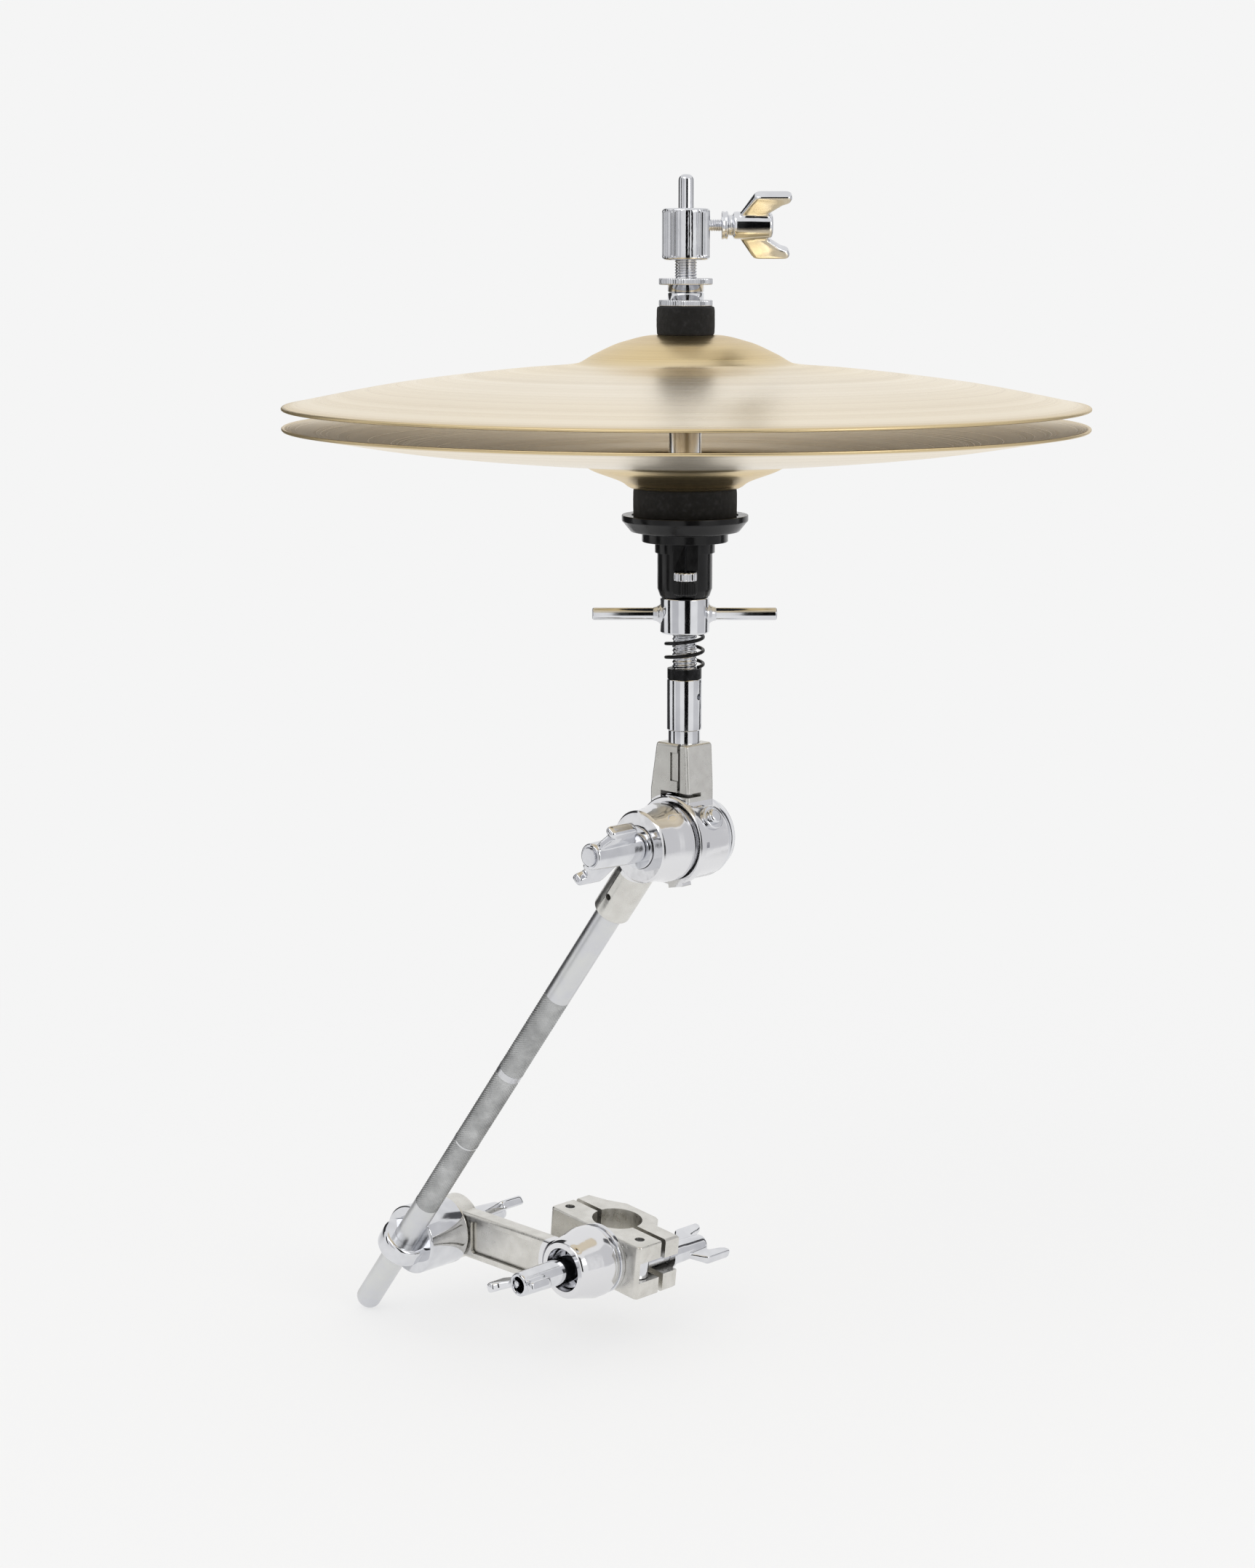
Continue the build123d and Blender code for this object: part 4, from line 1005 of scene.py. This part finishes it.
@dataclass
class Clutch(Assembly):
    """Clutch: ribbed body, threaded tube, lock nuts, felts, bottom nut and wing screw."""

    rib_count: int = 38
    rib_depth: float = 0.55 * MM
    plain_facing: float = -45.0
    thread_pitch: float = 1.25 * MM
    thread_depth: float = 0.55 * MM
    flange_teeth: int = 72
    flange_thick: float = 2.8 * MM

    def build_body(self) -> None:
        """Body with ribs that fade into a faintly pitted panel on one side, and rounded ends."""
        node = "clutch_body"
        low, high, radius = self.places.low(node), self.places.high(node), self.places.radius(node)
        bore, corner = 3.5 * MM, 1.7 * MM
        bottom = round_corner((bore, low), (radius, low), (radius, high), corner, 5)
        top = round_corner((radius, low), (radius, high), (bore, high), corner, 5)
        side = [(radius, z) for z in steps(low + corner, high - corner, 0.6 * MM)]
        cut = ribs(self.rib_count, self.rib_depth, low + 1.2 * MM, high - 1.2 * MM)
        facing = math.radians(self.plain_facing)

        def ribbed(angle: float, height: float) -> float:
            """Deep ribs that fade into a faintly pitted panel on one side."""
            turn = math.degrees(abs((angle - facing + math.pi) % (2 * math.pi) - math.pi))
            share = min(1.0, max(0.0, (turn - 22) / 5))
            pits = noise.noise(Vector((angle * 40, height / (0.45 * MM), 3.0)))
            return cut(angle, height) * (0.12 + 0.88 * share) - 0.07 * MM * (1 - share) * abs(pits)

        profile = [(bore, low), *bottom, *side[1:-1], *top, (bore, high)]
        self.turn_piece("clutch_body_ribbed", profile, Coat.CHROME, "clutch", node, self.rib_count * 8,
                        ribbed)

    def build_tube(self) -> None:
        """Threaded tube of the clutch."""
        node, bore = "clutch_tube", 3.45 * MM
        low, high, radius = self.places.low(node), self.places.high(node), self.places.radius(node)
        thread = screw_thread(self.thread_pitch, self.thread_depth, low + 0.8 * MM, high)
        profile = [(bore, low), *[(radius, z) for z in steps(low, high, self.thread_pitch / 6)], (bore, high)]
        self.turn_piece("clutch_tube_threaded", profile, Coat.CHROME, "clutch", node, 64, thread)

    def build_lock_nut(self, node: str, flange_low: bool) -> None:
        """Lock nut with a finely milled flange.

        Args:
            node: the CAD node that it replaces.
            flange_low: whether the flange is at its foot.
        """
        low, high = self.places.low(node), self.places.high(node)
        wide, narrow, bore, thick = self.places.radius(node), 8.0 * MM, 5.06 * MM, self.flange_thick
        soft, margin = 0.35 * MM, 0.2 * MM
        side = [(wide, z) for z in steps(soft, thick - soft, 0.5 * MM)]
        flange = [(bore, 0.0), (wide - soft, 0.0), (wide, soft), *side,
                  (wide, thick - soft), (wide - soft, thick), (narrow, thick), (narrow, high - low - soft),
                  (narrow - soft, high - low), (bore, high - low)]
        if flange_low:
            profile = [(r, low + z) for r, z in flange]
            start, end = low + margin, low + thick - margin
        else:
            profile = [(r, high - z) for r, z in flange]
            start, end = high - thick + margin, high - margin
        milled = ribs(self.flange_teeth, 0.3 * MM, start, end)
        self.turn_piece(node + "_milled", profile, Coat.CHROME, node, node, self.flange_teeth * 6, milled)

    def build_screw(self) -> None:
        """Wing screw that locks the clutch to the rod, with two flange rings on its neck."""
        head = WingHead.from_mm(hub_radius=6.0, hub_length=17.5, bore_radius=0.5, root=2.5, reach=25.5,
                                half_span=16.5, thickness=4.4)
        axis_spin = self.places.on_joint("clutch_screw_turn", self.places.post, self.places.right,
                                         Vector((0, 0, 1)), 35)
        place = axis_spin @ Matrix.Translation((0, 0, 20.5 * MM))
        neck_and_rings_mm = ((4.4, -3.2, 0.4), (6.3, -5.1, -3.9), (6.3, -3.3, -2.1), (3.2, -4.4, -2.8))
        collars = [(radius * MM, start * MM, end * MM) for radius, start, end in neck_and_rings_mm]
        parts = [head.build("clutch_wing_head", place, collars), self.build_shank(place)]
        name = "clutch_wing_screw_cast"
        new_piece(name, join_meshes(name, parts), self.finishes[Coat.CHROME], "clutch_wing_screw",
                  ["clutch_wing_screw"])

    def build_shank(self, place: Matrix) -> Mesh:
        """Threaded shank from the rod out to the head's flanges."""
        start, end, core = -16.6 * MM, -4.8 * MM, 0.4 * MM
        profile = [(core, start), *[(2.65 * MM, z) for z in steps(start, end, 0.16 * MM)], (core, end)]
        return lathe("clutch_screw_shank", profile, place, 40, screw_thread(1.0 * MM, 0.45 * MM, start, end))

    def build(self) -> None:
        """Build and dress the whole clutch."""
        self.build_body()
        self.build_tube()
        self.build_screw()
        self.build_lock_nut("upper_lock_nut", False)
        self.build_lock_nut("lower_lock_nut", True)
        self.dress_nodes(Coat.CHROME, 0.15, "clutch_bottom_nut")
        self.dress_nodes(Coat.CHROME, 0.0, "pull_rod")
        for node, seed in (("clutch_felt", 1.0), ("lower_clutch_felt", 5.0)):
            FeltRing(self.places, self.finishes, node, "clutch", 5.3 * MM, seed).build()


@dataclass
class Seat(Assembly):
    """Seat of the bottom cymbal: felt, dished cup, base and tilt screw."""

    flute_count: int = 14
    knurl_count: int = 26
    cap_tall: float = 3.9 * MM
    core: float = 0.4 * MM

    def build_screw(self) -> None:
        """Tilt screw: bright fluted cap over a black knurled wheel."""
        low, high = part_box("tilt_knob")
        place = Matrix.Translation(((low.x + high.x) / 2, (low.y + high.y) / 2, 0))
        radius = (high.x - low.x) / 2
        side = [(radius, z) for z in steps(low.z + 0.5 * MM, high.z - 0.4 * MM, 0.8 * MM)]
        wheel = [(self.core, low.z), (radius - 0.5 * MM, low.z), *side, (radius - 0.4 * MM, high.z),
                 (self.core, high.z)]
        knurl = ribs(self.knurl_count, 0.5 * MM, low.z + 0.4 * MM, high.z - 0.3 * MM)
        self.turn_piece("tilt_wheel_knurled", wheel, Coat.NYLON, "tilt_screw", "tilt_knob",
                        self.knurl_count * 8, knurl, place)
        foot, top, tip = high.z, high.z + self.cap_tall, self.places.high("tilt_screw")
        side = [(radius, z) for z in steps(foot + 0.2 * MM, top - 0.7 * MM, 0.6 * MM)]
        cap = [(self.core, foot), (radius - 0.2 * MM, foot), *side, (radius - 0.7 * MM, top),
               (2.0 * MM, top), (2.0 * MM, tip), (self.core, tip)]
        flutes = ribs(self.flute_count, 0.55 * MM, foot + 0.1 * MM, top - 0.3 * MM)
        self.turn_piece("tilt_cap_fluted", cap, Coat.CHROME, "tilt_screw", "tilt_screw",
                        self.flute_count * 10, flutes, place)

    def build(self) -> None:
        """Build and dress the seat."""
        self.build_screw()
        self.dress_nodes(Coat.NYLON_ON_TUBE, 0.35, "seat_cup")
        self.dress_nodes(Coat.NYLON, 0.4, "seat_base")
        FeltRing(self.places, self.finishes, "seat_felt", "seat_cup", 7.6 * MM, 9.0).build()


@dataclass
class HeightHandle(Assembly):
    """Height handle, its threaded rod, the spring and the sleeve below."""

    thread_pitch: float = 1.75 * MM
    thread_depth: float = 0.7 * MM

    def build_thread(self) -> None:
        """Threaded rod that the handle climbs."""
        node, bore = "threaded_rod", 3.4 * MM
        low, high, radius = self.places.low(node), self.places.high(node), self.places.radius(node)
        thread = screw_thread(self.thread_pitch, self.thread_depth, low + 1.0 * MM, high - 0.4 * MM)
        profile = [(bore, low), *[(radius, z) for z in steps(low, high, self.thread_pitch / 8)], (bore, high)]
        self.turn_piece("threaded_rod_cut", profile, Coat.SOFT_CHROME, "stem", node, 72, thread)

    def build_welds(self) -> None:
        """Smooth weld fillets where the rods leave the hub."""
        low, high = self.places.low("handle_rods"), self.places.high("handle_rods")
        hub, rod, core = self.places.radius("handle_hub"), (high - low) / 2, 0.4 * MM
        base = self.places.post + Vector((0, 0, (high + low) / 2))
        profile = [(core, hub - 2.6 * MM), (rod + 2.3 * MM, hub - 2.6 * MM), (rod + 2.2 * MM, hub - 0.6 * MM),
                   (rod + 1.1 * MM, hub + 0.5 * MM), (rod + 0.45 * MM, hub + 1.6 * MM),
                   (rod + 0.15 * MM, hub + 2.9 * MM), (rod - 0.3 * MM, hub + 3.3 * MM),
                   (core, hub + 3.3 * MM)]
        shapes = []
        for side in (-1, 1):
            turn = (self.places.right * side).to_track_quat("Z", "Y").to_matrix().to_4x4()
            shapes.append(lathe("handle_weld", profile, Matrix.Translation(base) @ turn, 48))
        mesh = join_meshes("handle_welds", shapes)
        new_piece("handle_welds", mesh, self.finishes[Coat.SOFT_CHROME], "handle")

    def build(self) -> None:
        """Build and dress the handle and what it climbs."""
        self.build_thread()
        self.build_welds()
        self.dress_nodes(Coat.CHROME, 0.3, "handle_hub", "handle_rods", "sleeve", "stem")
        self.dress_nodes(Coat.BLACK_STEEL, 0.0, "spring", "spring_seat")


@dataclass
class Tilter(Assembly):
    """Tilter: head casting, boom barrel, cap, screw, bolt, washer and wing nut."""

    def build(self) -> None:
        """Build and dress the tilter."""
        self.dress_nodes(Coat.ZINC_RING, 0.5, "tilter_head")
        self.dress_nodes(Coat.ZINC_BARREL, 0.5, "arm_barrel")
        self.dress_nodes(Coat.CHROME, 0.4, "head_cap")
        self.dress_nodes(Coat.CHROME, 0.25, "head_screw", "tilter_bolt", "tilter_washer", "key_bolt")
        head = WingHead.from_mm(hub_radius=6.7, hub_length=29.0, bore_radius=4.05, root=5.5, reach=27.5,
                                half_span=18.0, thickness=4.6)
        self.cast_wing_nut("tilter", head, -1, 49)


@dataclass
class BoomArm(Assembly):
    """Boom bar with its knurled bands."""

    pitch: float = 1.5 * MM
    depth: float = 0.26 * MM
    wall: float = 0.5 * MM
    gap: float = 0.02 * MM
    run_out: float = 0.3 * MM

    def band(self, node: str) -> None:
        """Cut a diamond knurl into one band, never above the bar's own surface."""
        down = self.places.down_boom()
        low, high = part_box(node)
        radius = (high.y - low.y) / 2
        lean = abs(self.places.boom_axis.x)
        reach = (high.z - low.z - 2 * radius * lean) / abs(self.places.boom_axis.z)
        middle = (down.inverted() @ ((low + high) / 2)).z
        start, end = middle - reach / 2 + self.gap, middle + reach / 2 - self.gap
        laps = round(2 * math.pi * radius / self.pitch)

        def diamonds(angle: float, height: float) -> float:
            """Two crossing sets of V grooves, as a change of radius."""
            around, run = laps * angle / (2 * math.pi), (height - start) / self.pitch
            first = abs(((around + run) % 1.0) * 2 - 1)
            second = abs(((around - run) % 1.0) * 2 - 1)
            fade = min(1.0, (height - start) / self.run_out, (end - height) / self.run_out)
            return -self.depth * max(0.0, fade) * max(first, second)

        profile = [(radius - self.wall, start), *[(radius, z) for z in steps(start, end, self.pitch / 6)],
                   (radius - self.wall, end)]
        self.turn_piece(node + "_cut", profile, Coat.KNURL, "boom", node, laps * 6, diamonds, down)

    def build(self) -> None:
        """Dress the bar and cut its bands."""
        self.dress_nodes(Coat.SATIN_BAR, 0.0, "boom_tube")
        for name in ("upper", "middle", "lower"):
            self.band(f"boom_knurl_{name}")


@dataclass
class BoomClamp(Assembly):
    """Boom clamp: eye, cup, stud, washer and wing nut."""

    def build(self) -> None:
        """Build and dress the boom clamp."""
        self.dress_nodes(Coat.CHROME, 0.5, "boom_cup", "boom_eye")
        self.dress_nodes(Coat.CHROME, 0.3, "boom_eye_stud")
        self.dress_nodes(Coat.CHROME, 0.2, "boom_washer")
        head = WingHead.from_mm(hub_radius=6.4, hub_length=20.0, bore_radius=4.05, root=5.5, reach=26.5,
                                half_span=15.5, thickness=4.2)
        self.cast_wing_nut("boom", head, 1, -35)


@dataclass
class TubeClamp(Assembly):
    """Stand clamp with its swivel: jaws, pins, swing bolt, discs, link bar and two wing nuts."""

    def build(self) -> None:
        """Build and dress the clamp and the link."""
        self.dress_nodes(Coat.ZINC, 0.4, "front_jaw", "rear_jaw")
        self.dress_nodes(Coat.ZINC_CONE, 0.5, "link_bar")
        self.dress_nodes(Coat.BLACK_STEEL, 0.0, "jaw_hinge_pin", "jaw_bolt_pin")
        self.dress_nodes(Coat.CHROME, 0.25, "jaw_swing_bolt", "jaw_washer", "swivel_disc_inner",
                         "swivel_disc_outer", "swivel_stud")
        head = WingHead.from_mm(hub_radius=5.6, hub_length=24.0, bore_radius=3.05, root=9.0, reach=33.0,
                                half_span=13.0, thickness=4.0)
        self.cast_wing_nut("jaw", head, 1, 20)
        head = WingHead.from_mm(hub_radius=6.6, hub_length=46.0, bore_radius=4.05, root=33.0, reach=52.0,
                                half_span=17.0, thickness=4.2)
        self.cast_wing_nut("swivel", head, -1, 15, [(9.5 * MM, 0, 3.0 * MM)])


@dataclass
class Studio:
    """Plain pale floor, soft light and the camera."""

    places: Places
    azimuth: float = 45.0
    pitch: float = 10.5
    distance: float = 1.2942
    side: float = -0.0256
    camera_height: float = 0.4957
    lens: float = 66.7
    paper: str = "989898"
    backdrop: str = "F5F5F5"
    under_light: float = 0.66
    floor_half: float = 6.0
    floor_gap: float = 0.6 * MM
    fade_from: float = 0.35
    fade_to: float = 1.1
    card_distance: float = 0.95
    card_height: float = 0.35
    card_tall: float = 1.5
    aim_height: float = 0.25

    def directions(self) -> tuple[Vector, Vector]:
        """Level unit vectors to the camera's right and away from it."""
        turn = math.radians(self.azimuth)
        return Vector((math.cos(turn), math.sin(turn), 0)), Vector((-math.sin(turn), math.cos(turn), 0))

    def outward(self, bearing: float) -> Vector:
        """Level direction from the post, by degrees anticlockwise from the camera's side."""
        right, away = self.directions()
        turn = math.radians(bearing)
        return -away * math.cos(turn) + right * math.sin(turn)

    def sheet(self, name: str, corners: Sequence[Sequence[float]], material: Material) -> Object:
        """Add one flat sheet to the studio."""
        mesh = bpy.data.meshes.new(name)
        mesh.from_pydata(corners, [], [(0, 1, 2, 3)])
        mesh.materials.append(material)
        return add_object(name, mesh)

    def camera(self) -> None:
        """Stand the camera in front of the post, a little above the cymbals."""
        right, away = self.directions()
        data = bpy.data.cameras.new("camera")
        data.lens = self.lens
        data.clip_end = 50
        item = add_object("camera", data)
        spot = self.places.post + right * self.side - away * self.distance
        item.location = (spot.x, spot.y, self.camera_height)
        item.rotation_euler = Euler((math.radians(90 - self.pitch), 0, math.radians(self.azimuth)))
        bpy.context.scene.camera = item

    def floor(self) -> None:
        """Lay a sheet of pale paper under the object that fades into the backdrop far away."""
        half, height = self.floor_half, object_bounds()[0].z - self.floor_gap
        material, tree, shader = new_material("matte_paper")
        # the paper is lit from below as on a light table, which keeps its shadows faint
        fill_inputs(tree, shader, {
            "Roughness": 1.0, "Specular IOR Level": 0.0, "Base Color": linear_rgb(self.paper),
            "Emission Color": linear_rgb(self.backdrop), "Emission Strength": self.under_light})
        place = add_node(tree, "ShaderNodeTexCoord").outputs["Object"]
        away = distance_from_line(tree, place, (1.0, 1.0, 0.0), (self.places.post.x, self.places.post.y, 0.0))
        fade = add_node(tree, "ShaderNodeMapRange", {"interpolation_type": "SMOOTHSTEP"},
                        {"Value": away, "From Min": self.fade_from, "From Max": self.fade_to}).outputs[0]
        layer_shaders(tree, fade, shader, add_node(tree, "ShaderNodeBsdfTransparent"))
        item = self.sheet("floor", [(-half, -half, height), (half, -half, height), (half, half, height),
                                    (-half, half, height)], material)
        item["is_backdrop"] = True

    def card(self, name: str, bearing: float, width: float, code: str) -> None:
        """Stand a card that only reflections see, turned to the post.

        Args:
            name: the card's name.
            bearing: where it stands, as outward takes it.
            width: its width.
            code: its hex colour.
        """
        out = self.outward(bearing)
        side = Vector((-out.y, out.x, 0)) * width / 2
        up = Vector((0, 0, self.card_tall / 2))
        middle = self.places.post + out * self.card_distance + Vector((0, 0, self.card_height))
        material, tree, shader = new_material(name)
        tree.nodes.remove(shader)
        glow = add_node(tree, "ShaderNodeEmission", inputs={"Color": linear_rgb(code), "Strength": 1.0})
        fill_inputs(tree, tree.nodes["Material Output"], {0: glow.outputs[0]})
        corners = [middle - side - up, middle + side - up, middle + side + up, middle - side + up]
        item = self.sheet(name, corners, material)
        item.visible_camera = False
        item.visible_diffuse = False
        item.visible_shadow = False
        item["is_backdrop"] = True

    def lamp(self, name: str, bearing: float, distance: float, height: float, size: float,
             power: float) -> None:
        """Hang a soft square lamp aimed at the cymbals.

        Args:
            name: the lamp's name.
            bearing: where it hangs, as outward takes it.
            distance: how far from the post.
            height: how high.
            size: the side of its square.
            power: its power in watts.
        """
        data = bpy.data.lights.new(name, "AREA")
        data.size = size
        data.energy = power
        item = add_object(name, data)
        item.location = self.places.post + self.outward(bearing) * distance + Vector((0, 0, height))
        aim = self.places.post + Vector((0, 0, self.aim_height)) - item.location
        item.rotation_euler = aim.to_track_quat("-Z", "Y").to_euler()

    def build(self) -> None:
        """Set up the floor, the lights and the camera."""
        scene = bpy.context.scene
        scene.view_settings.view_transform = "Standard"
        scene.world = bpy.data.worlds.new("studio")
        scene.world.use_nodes = True
        tree = scene.world.node_tree
        fill_inputs(tree, tree.nodes["Background"], {"Color": linear_rgb(self.backdrop), "Strength": 1.0})
        self.floor()
        self.lamp("key", -38, 1.6, 1.9, 1.4, 7)
        self.lamp("fill", 44, 1.5, 0.9, 0.6, 3)
        for name, bearing, width, code in (
                ("flag_front", 12, 0.44, "0B0B0C"), ("flag_left", -79, 0.24, "262627"),
                ("flag_back_left", -133, 0.75, "3A3A3B"), ("wash_left", -45, 0.55, "D2D2D4"),
                ("wash_right", 84, 0.80, "D6D6D8"), ("flag_right", 122, 0.30, "58585A")):
            self.card(name, bearing, width, code)
        self.camera()


def main() -> None:
    """Build the finishes, every sub-assembly and the studio, in order."""
    logging.basicConfig(level=logging.INFO, format="%(message)s")
    places = Places()
    finishes = Finishes(places)
    finishes.build()
    for assembly in (CymbalPair, Clutch, Seat, HeightHandle, Tilter, BoomArm, BoomClamp, TubeClamp):
        LOG.info("building %s", assembly.__name__)
        assembly(places, finishes).build()
    Studio(places).build()


if __name__ == "__main__":
    main()
